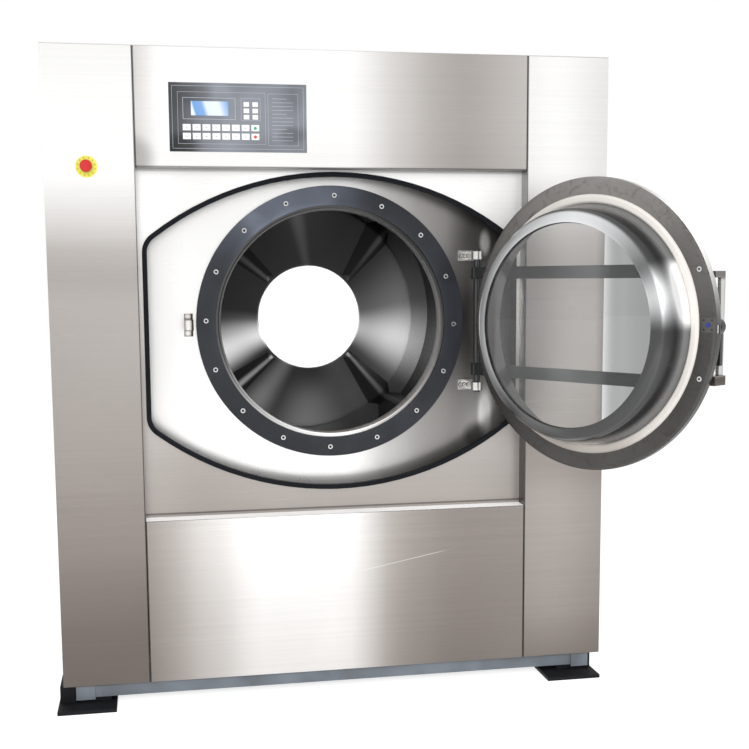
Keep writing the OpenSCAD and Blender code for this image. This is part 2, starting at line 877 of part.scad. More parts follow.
module tub_shell() {
    color(steel) difference() {
        on_axis(tub_plate_back_y) tube(tub_r, tub_r - tub_wall, tub_back_y - tub_plate_back_y);
        translate([0, at_depth(drain_y), axis_z - tub_r - 20]) cylinder(r = drain_bore_r - 6, h = 60);
    }
}

module tub_rear_plate() {
    color(steel) on_axis(tub_back_y) tube(tub_r, bearing_r + 4, rear_plate_t);
}

// Places children around the mouth ring's screw circle
module around_ring() {
    for (i = [0:ring_screws - 1]) rotate([0, 0, -90 + ring_screw_turn + i * 360 / ring_screws])
        translate([ring_screw_circle_r, 0, 0]) children();
}

module mouth_ring() {
    color([0.22, 0.23, 0.25]) on_axis(ring_y) difference() {
        tube(ring_out_r, ring_in_r, ring_t);
        around_ring() translate([0, 0, -over]) cylinder(r = 4.5, h = ring_t + 2 * over);
    }
}

module ring_screws() {
    color(polished) on_axis(ring_y) around_ring() {
        translate([0, 0, -3.5]) cylinder(r = screw_head_r, h = 3.5);
        cylinder(r = 4, h = ring_t);
    }
}

keeper_x = -432.5;

module latch_keeper() {
    front_face_y = rim_out_y + 3;
    color(polished) difference() {
        union() {
            block(keeper_x - 13, keeper_x + 13, tub_front_y - 5, tub_front_y, axis_z - 36, axis_z + 32);
            block(keeper_x - 13, keeper_x + 13, front_face_y, tub_front_y, tongue_low - 6, tongue_high + 6);
        }
        block(keeper_x - 8, keeper_x + 13 + over, tongue_y - slide_gap, tongue_y + tongue_w + slide_gap,
            tongue_low - slide_gap, tongue_high + slide_gap);
    }
}

module hinge_brackets() {
    color(polished) for (s = [-1, 1]) {
        mid_z = axis_z + s * knuckle_z;
        difference() {
            union() {
                block(hinge_x - 42, hinge_x + 12, tub_front_y - 8, tub_front_y, mid_z - 16, mid_z + 16);
                block(hinge_x - 16, hinge_x + 12, hinge_y, tub_front_y - 8, mid_z - 12, mid_z + 12);
                translate([hinge_x, at_depth(hinge_y), mid_z - 12]) cylinder(r = hinge_r + 8, h = 24);
            }
            translate([hinge_x, at_depth(hinge_y), mid_z - 20])
                cylinder(r = hinge_r + running, h = 40);
        }
        for (x = [-34, -22]) pointing_back(hinge_x + x, tub_front_y - 11, mid_z)
            difference() {
                cylinder(r = 5, h = 3);
                translate([0, 0, -over]) cylinder(r = 2, h = 2, $fn = 6);
            }
    }
}

module bearing_housing() {
    color(cast) on_axis(tub_rear_face_y) difference() {
        union() {
            cylinder(r = bearing_r + housing_wall, h = housing_len);
            cylinder(r = housing_flange_r, h = housing_flange_t);
            for (a = [0:60:300]) rotate([0, 0, a]) translate([bearing_r, -8, 0])
                cube([housing_flange_r - bearing_r - 20, 16, housing_rib_len]);
        }
        translate([0, 0, -over]) cylinder(r = bearing_r, h = housing_len + 2 * over);
    }
}

// A bearing: two rings with a shielded groove between them
module bearing() {
    mid_r = (bearing_r + shaft_r) / 2;
    shield_w = (bearing_r - shaft_r) / 4;
    difference() {
        tube(bearing_r, shaft_r + running, bearing_w);
        for (z = [-over, bearing_w - 6]) translate([0, 0, z])
            tube(mid_r + shield_w, mid_r - shield_w, 6 + over);
    }
}

module drum_bearings() {
    color(polished) {
        on_axis(tub_rear_face_y + 24) bearing();
        on_axis(tub_rear_face_y + housing_len - bearing_w - 6) bearing();
    }
}

module motor() {
    back_y = pulley_y - 14;
    color([0.3, 0.36, 0.42]) difference() {
        union() {
            pointing_back(motor_x, back_y - motor_len, motor_z) cylinder(r = motor_r - 10, h = motor_len);
            pointing_back(motor_x, back_y - motor_len, motor_z) cylinder(r = motor_r, h = 40);
            pointing_back(motor_x, back_y - 40, motor_z) cylinder(r = motor_r, h = 40);
            for (a = [0:15:345]) pointing_back(motor_x, back_y - motor_len + 50, motor_z)
                rotate([0, 0, a]) translate([motor_r - 14, -2, 0]) cube([12, 4, motor_len - 100]);
            block(motor_x - 100, motor_x + 100, back_y - 325, back_y - 55, motor_z + 60, motor_z + motor_r);
            block(motor_x - 215, motor_x - 90, back_y - 260, back_y - 150, motor_z - 20, motor_z + 70);
        }
        pointing_back(motor_x, back_y - motor_len + 60, motor_z)
            cylinder(r = motor_shaft_r + running, h = motor_len);
    }
}

motor_place = [motor_x, -(motor_z - axis_z)];
belt_reach = sqrt(pow(motor_place[0], 2) + pow(motor_place[1], 2));
belt_turn = atan2(motor_place[1], motor_place[0]);

// Outline of a loop round both pulleys, made of two circles and the space between their tangents
module belt_outline(extra) {
    r1 = pulley_r + extra;
    r2 = motor_pulley_r + extra;
    lean = acos((r1 - r2) / belt_reach);
    rotate([0, 0, belt_turn]) union() {
        circle(r = r1);
        translate([belt_reach, 0]) circle(r = r2);
        polygon([
            r1 * [cos(lean), sin(lean)],
            [belt_reach, 0] + r2 * [cos(lean), sin(lean)],
            [belt_reach, 0] + r2 * [cos(lean), -sin(lean)],
            r1 * [cos(lean), -sin(lean)]
        ]);
    }
}

module drive_belts() {
    belt_w = (pulley_w - 18) / 3;
    color(dark) for (i = [0:2]) on_axis(pulley_y + 7 + i * (belt_w + 2)) linear_extrude(belt_w)
        difference() {
            belt_outline(near + belt_t);
            belt_outline(near);
        }
}

// Drum

// Drum wall with its front flange and rolled edge
module drum_shell() {
    roll = 6;
    color(steel) on_axis(drum_front_y) union() {
        tube(drum_out_r, drum_r, drum_back_y - drum_front_y);
        tube(drum_out_r, lip_in_r + 8, drum_wall);
        translate([0, 0, roll]) rotate_extrude() translate([lip_in_r + 8, 0]) circle(r = roll);
    }
}

// Conical back, seen from the side as a profile of radius and depth
module drum_back() {
    hub_y = hub_cover_y + hub_cover_t;
    color(steel) on_axis(0) rotate_extrude() polygon([
        [0, hub_y], [hub_cover_r, hub_y], [cone_r, drum_back_y], [drum_out_r, drum_back_y],
        [drum_out_r, drum_back_y + 8], [cone_r - 3, drum_back_y + 8], [hub_cover_r - 3, hub_y + 6],
        [0, hub_y + 6]
    ]);
}

// One end of a rib on the cone, a thin slice of its triangle
module rib_slice(r, y, w, h) {
    translate([r, 0, y]) rotate([0, 40, 0]) linear_extrude(1)
        polygon([[-14, w / 2], [h, 0], [-14, -w / 2]]);
}

// Lifters along the wall, each with the rib that carries it on across the conical back
module drum_lifters() {
    hub_y = hub_cover_y + hub_cover_t;
    color(steel) on_axis(0) for (i = [0:lifters - 1]) rotate([0, 0, 45 + i * 360 / lifters])
        difference() {
            union() {
                hull() {
                    rib_slice(hub_cover_r + 4, hub_y + 6, 56, 22);
                    rib_slice(cone_r + 22, drum_back_y + 8, 112, rib_h);
                }
                translate([0, 0, drum_front_y + 16]) linear_extrude(drum_back_y - drum_front_y - 16)
                    intersection() {
                        circle(r = drum_r);
                        polygon([[drum_r + 1, lifter_w / 2], [drum_r - 8, lifter_w / 2],
                            [drum_r - lifter_h, 8], [drum_r - lifter_h, -8],
                            [drum_r - 8, -lifter_w / 2], [drum_r + 1, -lifter_w / 2]]);
                    }
            }
            rotate_extrude() polygon([
                [0, hub_y - 60], [hub_cover_r, hub_y - 60], [hub_cover_r, hub_y], [cone_r, drum_back_y],
                [drum_out_r + 90, drum_back_y], [drum_out_r + 90, drum_back_y + 90], [0, drum_back_y + 90]
            ]);
            translate([0, 0, drum_front_y]) tube(drum_out_r + 90, drum_r, drum_back_y - drum_front_y + 90);
        }
}

module hub_cover() {
    r = hub_cover_r - 4;
    color("white") on_axis(hub_cover_y) rotate_extrude()
        polygon([[0, 0], [r - 12, 0], [r, 3], [r, hub_cover_t], [0, hub_cover_t]]);
}

module drum_spider() {
    back_y = tub_back_y - 8;
    color(cast) on_axis(drum_back_y + 8) union() {
        difference() {
            cylinder(r = 110, h = back_y - drum_back_y - 8);
            translate([0, 0, -over]) cylinder(r = shaft_r, h = 100);
        }
        for (i = [0:2]) rotate([0, 0, 90 + i * 120]) translate([100, -35, 0])
            cube([drum_out_r - 106, 70, 42]);
    }
}

module drum_shaft() {
    start_y = drum_back_y + 12;
    color(polished) on_axis(start_y) cylinder(r = shaft_r, h = pulley_y + pulley_w + 10 - start_y);
}

module grooved_wheel(r) {
    difference() {
        cylinder(r = r + pulley_flange, h = pulley_w);
        translate([0, 0, 6]) tube(r + pulley_flange + over, r, pulley_w - 12);
    }
}

module drum_pulley() {
    hub_r = shaft_r + 40;
    rim_in_r = pulley_r - 26;
    hole_circle_r = (hub_r + rim_in_r) / 2;
    color(cast) on_axis(pulley_y) difference() {
        grooved_wheel(pulley_r);
        translate([0, 0, -over]) cylinder(r = shaft_r, h = pulley_w + 2 * over);
        translate([0, 0, -over]) tube(rim_in_r, hub_r, 22);
        translate([0, 0, pulley_w - 21]) tube(rim_in_r, hub_r, 22);
        for (a = [0:60:300]) rotate([0, 0, a]) translate([hole_circle_r, 0, 0])
            cylinder(r = 62, h = pulley_w);
    }
}

module motor_pulley() {
    start_y = pulley_y - 14 - motor_len + 62;
    color(cast) union() {
        pointing_back(motor_x, pulley_y, motor_z) grooved_wheel(motor_pulley_r);
        pointing_back(motor_x, start_y, motor_z) cylinder(r = motor_shaft_r, h = pulley_y - start_y + 8);
    }
}

// Door, drawn shut and then opened

module door_rim() {
    edge = 8;
    color([0.4, 0.4, 0.4]) door_open() difference() {
        on_axis(rim_out_y) rotate_extrude() difference() {
            translate([bowl_base_r, 0]) square([rim_r - bowl_base_r, rim_t]);
            translate([0, rim_t - seal_groove]) square([seal_out_r, seal_groove + over]);
            translate([rim_r - edge, -over]) difference() {
                square([edge + over, edge + over]);
                translate([0, edge + over]) circle(r = edge);
            }
            translate([rim_r - edge, rim_t - edge]) difference() {
                square([edge + over, edge + over]);
                circle(r = edge);
            }
        }
        block(-rim_r - over, -tongue_tail_x + 3.5, tongue_y - near, tongue_y + tongue_w + near,
            tongue_low - near, tongue_high + near);
        pointing_back(-latch_x, rim_out_y - over, axis_z + latch_z)
            cylinder(r = spindle_r + running, h = tongue_y - rim_out_y + over);
    }
}

module door_bowl() {
    edge = bowl_edge_r;
    run = bowl_depth + rim_t;
    color(polished) door_open() on_axis(rim_out_y) rotate_extrude() polygon(concat(
        [[bowl_base_r - bowl_wall, 0], [bowl_base_r, 0], [bowl_base_r, rim_t]],
        [for (i = [0:6]) let (a = i * 15)
            [bowl_end_r - edge + edge * cos(a), run - edge + edge * sin(a)]],
        [[view_r, run], [view_r, run - bowl_wall]],
        [for (i = [0:6]) let (a = 90 - i * 15)
            [bowl_end_r - edge + (edge - bowl_wall) * cos(a), run - edge + (edge - bowl_wall) * sin(a)]],
        [[bowl_base_r - bowl_wall, rim_t]]
    ));
}

module door_glass() {
    color([0.8, 0.88, 0.88, 0.5]) door_open() on_axis(glass_front_y) cylinder(r = glass_r, h = glass_t);
}

module glass_gasket() {
    color(dark) door_open() on_axis(glass_front_y - 4) union() {
        tube(gasket_r, glass_r, glass_t + 4);
        tube(gasket_r, view_r - 2, 4);
    }
}

module door_seal() {
    seal_in_r = bowl_base_r;
    w = seal_out_r - seal_in_r;
    proud = lip_front_y - near - rim_in_y;
    color([0.88, 0.86, 0.82]) door_open() on_axis(seal_floor_y) rotate_extrude() polygon([
        [seal_in_r, 0], [seal_out_r, 0], [seal_out_r, seal_groove],
        [seal_out_r - w / 6, seal_groove + proud * 0.8], [seal_out_r - w / 3, seal_groove + proud],
        [seal_in_r + w / 3, seal_groove + proud], [seal_in_r + w / 6, seal_groove + proud * 0.8],
        [seal_in_r, seal_groove]
    ]);
}

// Arms across the outside of the door, on the hinge shaft
module door_arms() {
    end_x = -350;
    color([0.35, 0.35, 0.35]) door_open() union() {
        for (s = [-1, 1]) {
            mid_z = axis_z + s * arm_z;
            block(end_x, hinge_x, rim_out_y - arm_t, rim_out_y, mid_z - arm_h / 2, mid_z + arm_h / 2);
            translate([hinge_x, at_depth(hinge_y), mid_z - arm_h / 2]) cylinder(r = hinge_r + 8, h = arm_h);
            for (x = [end_x + 20, -end_x - 20]) pointing_back(x, rim_out_y - arm_t - 6, mid_z)
                cylinder(r = 11, h = 6, $fn = 6);
        }
        translate([hinge_x, at_depth(hinge_y), axis_z - knuckle_z - 18])
            cylinder(r = hinge_r, h = 2 * knuckle_z + 36);
    }
}

module grab_bar() {
    bar_y = rim_out_y - grab_gap - grab_r;
    reach = arm_z + 1;
    foot_h = 25;
    color("gray") door_open() union() {
        translate([-grab_x, at_depth(bar_y), axis_z - reach]) cylinder(r = grab_r, h = 2 * reach - 2);
        block(-grab_x - 10, -grab_x + 10, bar_y, rim_out_y, axis_z + reach - 19, axis_z + reach - 2);
        block(-grab_x - 16, -grab_x + 16, bar_y - 5, rim_out_y, axis_z - reach, axis_z - reach + foot_h);
    }
}

// Screws in the door's inner face
module rim_screws() {
    color(polished) door_open() for (p = [[50 - rim_r, arm_z + 4], [42 - rim_r, 18 - arm_z]])
        pointing_back(p[0], rim_in_y, axis_z + p[1]) difference() {
            cylinder(r = 7, h = 3);
            translate([0, 0, 1.5]) cylinder(r = 2.6, h = 2, $fn = 6);
        }
}

// Square plate over the latch, with a centre boss and four holes
module latch_plate() {
    mid_x = -latch_x - 1;
    mid_z = axis_z + latch_z + 5.4;
    half = latch_plate_w / 2;
    hole_in = 7;
    color("gray") door_open() difference() {
        union() {
            block(mid_x - half, mid_x + half, rim_in_y, rim_in_y + 2, mid_z - half, mid_z + half);
            pointing_back(mid_x, rim_in_y, mid_z) cylinder(r = 6, h = 3.5);
        }
        for (x = [hole_in - half, half - hole_in], z = [hole_in - half, half - hole_in])
            pointing_back(mid_x + x, rim_in_y - over, mid_z + z) cylinder(r = 3, h = 2 + 2 * over);
    }
}

// Hub and lever outside the door, with the spindle that reaches in to the tongue
module latch_handle() {
    hub_w = 20;
    color(dark) door_open() union() {
        pointing_back(-latch_x, rim_out_y - hub_w, axis_z + latch_z) {
            cylinder(r = latch_hub_r, h = hub_w - near);
            cylinder(r = spindle_r, h = hub_w + tongue_y - near - rim_out_y);
        }
        block(-latch_x - spindle_r, -latch_x + spindle_r, rim_out_y - hub_w - 10, rim_out_y - hub_w + 2,
            axis_z + latch_z - lever_len, axis_z + latch_z + 10);
    }
}

// Flat tongue that slides out of the rim's edge
module latch_tongue() {
    color(polished) door_open() block(-tongue_tip_x, -tongue_tail_x, tongue_y, tongue_y + tongue_w,
        tongue_low, tongue_high);
}

base_frame();
isolator_feet();
left_column();
right_column();
top_fascia();
lower_access_panel();
recess_panel();
cutout_trim();
left_side_panel();
right_side_panel();
roof_panel();
rear_panel();
drive_cover();
cover_screws();
keypad_film();
membrane_keys();
display();
stop_plate();
stop_collar();
stop_stem();
stop_head();
electrical_box();
water_valves();
drain_outlet();
drain_bellows();
suspension_springs();
damper_cylinders();
damper_rods();
tub_front_plate();
tub_shell();
tub_rear_plate();
mouth_ring();
ring_screws();
latch_keeper();
hinge_brackets();
bearing_housing();
drum_bearings();
tub_cradle();
motor();
drive_belts();
drain_valve();
drum_shell();
drum_back();
drum_lifters();
hub_cover();
drum_spider();
drum_shaft();
drum_pulley();
motor_pulley();
door_rim();
door_bowl();
door_glass();
glass_gasket();
door_seal();
door_arms();
grab_bar();
rim_screws();
latch_plate();
latch_handle();
latch_tongue();
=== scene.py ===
"""Looks of an industrial washing machine: brushed cabinet, dark mouth ring, open door and perforated drum."""
import json
import logging
import math
from collections.abc import Callable
from dataclasses import dataclass
from enum import Enum
from functools import partial

import bpy
from mathutils import Matrix, Vector


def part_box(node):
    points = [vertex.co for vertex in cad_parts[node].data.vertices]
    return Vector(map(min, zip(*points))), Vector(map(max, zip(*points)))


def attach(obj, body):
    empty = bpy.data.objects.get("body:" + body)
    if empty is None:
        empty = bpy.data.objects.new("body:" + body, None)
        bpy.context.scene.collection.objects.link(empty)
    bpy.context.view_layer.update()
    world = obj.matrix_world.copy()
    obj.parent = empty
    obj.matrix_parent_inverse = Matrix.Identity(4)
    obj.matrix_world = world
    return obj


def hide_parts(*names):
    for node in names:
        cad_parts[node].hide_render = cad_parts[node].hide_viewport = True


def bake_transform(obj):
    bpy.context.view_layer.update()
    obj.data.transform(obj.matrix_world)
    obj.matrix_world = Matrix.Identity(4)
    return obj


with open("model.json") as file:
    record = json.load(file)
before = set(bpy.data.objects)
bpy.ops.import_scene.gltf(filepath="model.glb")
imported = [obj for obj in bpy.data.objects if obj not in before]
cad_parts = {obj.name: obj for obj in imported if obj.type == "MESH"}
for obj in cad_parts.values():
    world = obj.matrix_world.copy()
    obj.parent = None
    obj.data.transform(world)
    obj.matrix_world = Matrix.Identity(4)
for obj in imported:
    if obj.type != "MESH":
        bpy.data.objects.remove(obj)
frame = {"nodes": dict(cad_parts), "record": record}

LOG = logging.getLogger("washing_machine")

FRONT_Y = -0.750
TOP_Z = 1.892
AXIS_Z = 1.110
HINGE = Vector((0.4374, FRONT_Y + 0.0606, 0.0))
OPEN_ANGLE = math.radians(122.5)
STOOD_UP = (math.pi / 2, 0, 0)
SHARP_ANGLE = math.radians(35)
SMOOTH_ANGLE = math.radians(32)
FLAT_ANGLE = math.radians(0.6)
WELD = 0.00002
WHITE = (1.0, 1.0, 1.0, 1.0)
# Near-white colour painted on faces that lie upward, as painted light.
LIT_STEEL = (0.93, 0.92, 0.91, 1.0)
STAIN = (0.045, 0.036, 0.030, 1.0)
DUST = (0.42, 0.39, 0.35, 1.0)
HOLLOW = (0.012, 0.012, 0.014, 1.0)
# How painted shade leans warm as it gets darker, for red, green and blue.
WARM_LEAN = (-0.05, 0.03, 0.08)
Color = tuple[float, float, float]
Point = tuple[float, float, float]
Piece = bpy.types.Object
Value = bpy.types.NodeSocket
Number = Value | float
Shade = Value | tuple[float, float, float, float]


# Small tools of the workshop


def deselect() -> None:
    """Leaves edit mode and selects nothing."""
    if bpy.context.object and bpy.context.object.mode != "OBJECT":
        end_edit()
    bpy.ops.object.select_all(action="DESELECT")


def take(piece: Piece) -> None:
    """Makes a piece the only selected and active one."""
    deselect()
    piece.select_set(True)
    bpy.context.view_layer.objects.active = piece


def begin_edit(piece: Piece, mode: str = "VERT") -> None:
    """Opens a piece in edit mode with all of it selected."""
    take(piece)
    bpy.ops.object.mode_set(mode="EDIT")
    bpy.ops.mesh.select_mode(type=mode)
    bpy.ops.mesh.select_all(action="SELECT")


def end_edit() -> None:
    """Goes back to object mode."""
    bpy.ops.object.mode_set(mode="OBJECT")


def settle(piece: Piece) -> None:
    """Moves a piece's place, turn and scale into its mesh."""
    take(piece)
    bpy.ops.object.transform_apply(location=True, rotation=True, scale=True)


def soften(piece: Piece, width: float, segments: int = 2) -> None:
    """Rounds the sharp edges of a piece and shades it smooth.

    Args:
        piece: The mesh object.
        width: Width of the rounding in metres.
        segments: Number of steps across the rounding.
    """
    take(piece)
    if width > 0:
        bevel = piece.modifiers.new("Round", "BEVEL")
        bevel.width = width
        bevel.segments = segments
        bevel.limit_method = "ANGLE"
        bevel.angle_limit = SHARP_ANGLE
        bpy.ops.object.modifier_apply(modifier=bevel.name)
    bpy.ops.object.shade_smooth_by_angle(angle=SMOOTH_ANGLE)
    weighted = piece.modifiers.new("Weighted", "WEIGHTED_NORMAL")
    weighted.keep_sharp = True
    bpy.ops.object.modifier_apply(modifier=weighted.name)


def traced(node: str, name: str = "") -> Piece:
    """Copies a frame node's shape into a new mesh with whole faces."""
    piece = bpy.data.objects.new(name or node.replace("_", "-"), frame["nodes"][node].data.copy())
    bpy.context.scene.collection.objects.link(piece)
    piece.data.materials.clear()
    begin_edit(piece)
    bpy.ops.mesh.remove_doubles(threshold=WELD)
    bpy.ops.mesh.dissolve_limited(angle_limit=FLAT_ANGLE)
    bpy.ops.mesh.normals_make_consistent(inside=False)
    end_edit()
    return piece


def turned(name: str, profile: list[tuple[float, float]], steps: int = 128) -> Piece:
    """Turns a closed profile about the drum axis, ring by ring.

    Args:
        name: Name of the new piece.
        profile: Radius and depth behind the front plane of each corner, in metres.
        steps: Number of steps round the axis.

    Returns:
        The new object.
    """
    deselect()
    radius, depth = profile[0]
    bpy.ops.mesh.primitive_circle_add(vertices=steps, radius=radius, location=(0, FRONT_Y + depth, AXIS_Z),
                                      rotation=STOOD_UP)
    piece = bpy.context.object
    piece.name = name
    settle(piece)
    begin_edit(piece)
    for next_radius, next_depth in profile[1:] + profile[:1]:
        bpy.ops.mesh.extrude_region_move(TRANSFORM_OT_translate={"value": (0, next_depth - depth, 0)})
        ratio = next_radius / radius
        bpy.ops.transform.resize(value=(ratio, 1, ratio), center_override=(0, FRONT_Y + next_depth, AXIS_Z))
        radius, depth = next_radius, next_depth
    bpy.ops.mesh.select_all(action="SELECT")
    bpy.ops.mesh.remove_doubles(threshold=WELD / 2)
    bpy.ops.mesh.normals_make_consistent(inside=False)
    end_edit()
    return piece


def swing_open(piece: Piece) -> None:
    """Turns a piece that is drawn shut to where the open door stands."""
    begin_edit(piece)
    bpy.ops.transform.rotate(value=-OPEN_ANGLE, orient_axis="Z", center_override=HINGE)
    end_edit()


def stood_plate(place: Point, width: float, height: float) -> Piece:
    """Adds a thin plate that faces the front, by its middle and its sizes."""
    deselect()
    bpy.ops.mesh.primitive_plane_add(size=1, location=place, rotation=STOOD_UP)
    piece = bpy.context.object
    piece.scale = (width, height, 1)
    settle(piece)
    return piece


def joined(pieces: list[Piece], name: str) -> Piece:
    """Joins pieces into one object with the given name."""
    take(pieces[0])
    for other in pieces[1:]:
        other.select_set(True)
    bpy.ops.object.join()
    piece = bpy.context.object
    piece.name = name
    return piece


def placed_copy(piece: Piece, place: Matrix) -> Piece:
    """Copies a piece with its own mesh and moves the mesh by a matrix."""
    twin = piece.copy()
    twin.data = piece.data.copy()
    bpy.context.scene.collection.objects.link(twin)
    twin.data.transform(place)
    return twin


def body_with(node: str) -> str:
    """Name of the body that holds a frame node."""
    bodies = frame["record"]["behaviour"]["bodies"]
    return next(body for body, nodes in bodies.items() if node in nodes)


def slot_of(node: str) -> str:
    """Material slot that the record gives a frame node."""
    return next(part["material_slot"] for part in frame["record"]["subparts"] if part["node"] == node)


# Finishes


class Wires:
    """Adds nodes to a tree and joins them in short calls."""

    def __init__(self, tree: bpy.types.NodeTree) -> None:
        """Keeps the tree."""
        self.tree = tree

    def feed(self, node: bpy.types.Node, inputs: dict) -> None:
        """Sets a node's inputs, by name or number, to values, or joins them to output sockets."""
        for key, value in inputs.items():
            if isinstance(value, Value):
                self.tree.links.new(value, node.inputs[key])
            else:
                node.inputs[key].default_value = value

    def add(self, kind: str, inputs: dict | None = None, **settings: object) -> bpy.types.Node:
        """Adds a node.

        Args:
            kind: Node type without the ShaderNode prefix.
            inputs: Values, or output sockets to join, by input name or number.
            **settings: Attributes of the node.

        Returns:
            The node.
        """
        node = self.tree.nodes.new(kind if kind.startswith("Node") else "ShaderNode" + kind)
        for key, value in settings.items():
            setattr(node, key, value)
        self.feed(node, inputs or {})
        return node

    def group(self, tree: bpy.types.NodeTree, *values: object) -> list[Value]:
        """Places a group with its first inputs given and returns its outputs."""
        return self.add("Group", dict(enumerate(values)), node_tree=tree).outputs

    def math(self, operation: str, a: Number, b: Number = 0.0, c: Number = 0.0, clamp: bool = False) -> Value:
        """Joins up to three values by a Math node and returns its output."""
        return self.add("Math", {0: a, 1: b, 2: c}, operation=operation, use_clamp=clamp).outputs[0]

    def plus(self, a: Number, b: Number) -> Value:
        """Sum of two values."""
        return self.math("ADD", a, b)

    def minus(self, a: Number, b: Number) -> Value:
        """The first value less the second."""
        return self.math("SUBTRACT", a, b)

    def times(self, a: Number, b: Number) -> Value:
        """Product of two values."""
        return self.math("MULTIPLY", a, b)

    def over(self, a: Number, b: Number) -> Value:
        """The first value divided by the second."""
        return self.math("DIVIDE", a, b)

    def length(self, a: Number, b: Number) -> Value:
        """Length of the way with two sides at right angles."""
        return self.math("SQRT", self.plus(self.times(a, a), self.times(b, b)))

    def off(self, value: Value, place: float) -> Value:
        """How far a value is from a place, either way."""
        return self.math("ABSOLUTE", self.minus(value, place))

    def mix(self, factor: Number, a: Shade, b: Shade, blend: str = "MIX") -> Value:
        """Mixes two colours and returns the result."""
        return self.add("Mix", {0: factor, 6: a, 7: b}, data_type="RGBA", blend_type=blend,
                        clamp_result=True).outputs[2]

    def spread(self, value: Value, low: float, high: float, to_low: float = 0.0, to_high: float = 1.0) -> Value:
        """Stretches a range smoothly onto another and returns the result."""
        return self.add("MapRange", {0: value, 1: low, 2: high, 3: to_low, 4: to_high},
                        interpolation_type="SMOOTHSTEP").outputs[0]

    def parts(self, vector: Value) -> list[Value]:
        """The x, y and z of a vector."""
        return self.add("SeparateXYZ", {0: vector}).outputs

    def noise(self, **inputs: Number) -> Value:
        """Grey noise of a Noise node."""
        return self.add("TexNoise", inputs).outputs[0]

    def toned(self, value: Value, low: float, high: float, stops: list[tuple[float, Color]],
              curve: str) -> Value:
        """Gives a value between two others a colour.

        Args:
            value: The value.
            low: Value at the start of the stops.
            high: Value at their end.
            stops: Share of the way, from 0 to 1, and colour of each stop.
            curve: Kind of the curve between the stops.

        Returns:
            The colour.
        """
        ramp = self.add("ValToRGB", {0: self.add("MapRange", {0: value, 1: low, 2: high}).outputs[0]})
        ramp.color_ramp.interpolation = curve
        points = ramp.color_ramp.elements
        for number, (share, color) in enumerate(stops):
            point = points[number] if number < 2 else points.new(1.0)
            point.position = share
            point.color = four(color)
        return ramp.outputs[0]


def four(color: Color, tone: float = 1.0) -> tuple[float, float, float, float]:
    """Scales a colour and adds full alpha."""
    return (*(min(1.0, part * tone) for part in color), 1.0)


def new_group(name: str, inputs: dict[str, tuple[str, object]], outputs: dict[str, str],
              ) -> tuple[bpy.types.NodeTree, Wires, list[Value], bpy.types.Node]:
    """Starts a shader node group.

    Args:
        name: Name of the group.
        inputs: Socket name to its kind, Float or Vector, and its value.
        outputs: Socket name to its kind.

    Returns:
        The group's tree, its wires, the outputs of its input node, and its output node.
    """
    tree = bpy.data.node_groups.new(name, "ShaderNodeTree")
    for key, (kind, value) in inputs.items():
        socket = tree.interface.new_socket(key, in_out="INPUT", socket_type="NodeSocket" + kind)
        if value is not None:
            socket.default_value = value
    for key, kind in outputs.items():
        tree.interface.new_socket(key, in_out="OUTPUT", socket_type="NodeSocket" + kind)
    wires = Wires(tree)
    return tree, wires, wires.add("NodeGroupInput").outputs, wires.add("NodeGroupOutput")


def grain_group() -> bpy.types.NodeTree:
    """Fine streaks of brushed metal: a tone and a height that run along one axis."""
    tree, wires, given, end = new_group(
        "Brushed grain", {"Vector": ("Vector", None), "Stretch": ("Vector", (6.0, 6.0, 900.0))},
        {"Tone": "Float", "Height": "Float"})
    place = wires.add("VectorMath", {0: given[0], 1: given[1]}, operation="MULTIPLY").outputs[0]
    fine = wires.noise(Vector=place, Scale=1.0, Detail=4.0, Roughness=0.65)
    coarse = wires.noise(Vector=place, Scale=0.13, Detail=2.0)
    tone = wires.plus(wires.times(fine, 0.6), wires.times(coarse, 0.4))
    wires.feed(end, {0: wires.spread(tone, 0.30, 0.70), 1: fine})
    return tree


def cloud_group() -> bpy.types.NodeTree:
    """Soft clouds and faint wipe marks over a surface."""
    tree, wires, given, end = new_group(
        "Clouds and wipes", {"Vector": ("Vector", None), "Scale": ("Float", 2.0)},
        {"Clouds": "Float", "Wipes": "Float"})
    soft = wires.noise(Vector=given[0], Scale=given[1], Detail=1.5, Distortion=0.4)
    wipes = wires.noise(Vector=given[0], Scale=wires.times(given[1], 4.5), Detail=5.0, Roughness=0.7,
                        Distortion=1.5)
    wires.feed(end, {0: wires.spread(soft, 0.30, 0.70), 1: wires.spread(wipes, 0.50, 0.75)})
    return tree


def holes_group() -> bpy.types.NodeTree:
    """Staggered rows of round holes, from two places in metres along and across a sheet."""
    tree, wires, given, end = new_group(
        "Perforation", {"Along": ("Float", 0.0), "Across": ("Float", 0.0), "Pitch": ("Float", 0.0066),
                        "Hole radius": ("Float", 0.0015), "Soft edge": ("Float", 0.0008)}, {"Hole": "Float"})
    across = wires.over(given[1], given[2])
    odd = wires.math("MODULO", wires.math("ABSOLUTE", wires.math("FLOOR", across)), 2.0)
    along = wires.plus(wires.over(given[0], given[2]), wires.times(odd, 0.5))
    side, rise = (wires.minus(wires.math("FRACT", way), 0.5) for way in (along, across))
    edge = wires.minus(given[3], wires.times(wires.length(side, rise), given[2]))
    wires.feed(end, {0: wires.math("DIVIDE", edge, given[4], clamp=True)})
    return tree


def round_group() -> bpy.types.NodeTree:
    """Turns a place into angle and radius about the drum axis, and into a vector for turned grain."""
    tree, wires, given, end = new_group("Round places", {"Vector": ("Vector", None)},
                                        {"Angle": "Float", "Radius": "Float", "Turned": "Vector"})
    x, y, z = wires.parts(given[0])
    rise = wires.minus(z, AXIS_Z)
    angle = wires.math("ARCTAN2", rise, x)
    radius = wires.length(rise, x)
    turned_place = wires.add("CombineXYZ", {0: wires.times(angle, 0.3), 1: y, 2: radius}).outputs[0]
    wires.feed(end, {0: angle, 1: radius, 2: turned_place})
    return tree


GRAIN = grain_group()
CLOUDS = cloud_group()
HOLES = holes_group()
ROUND = round_group()


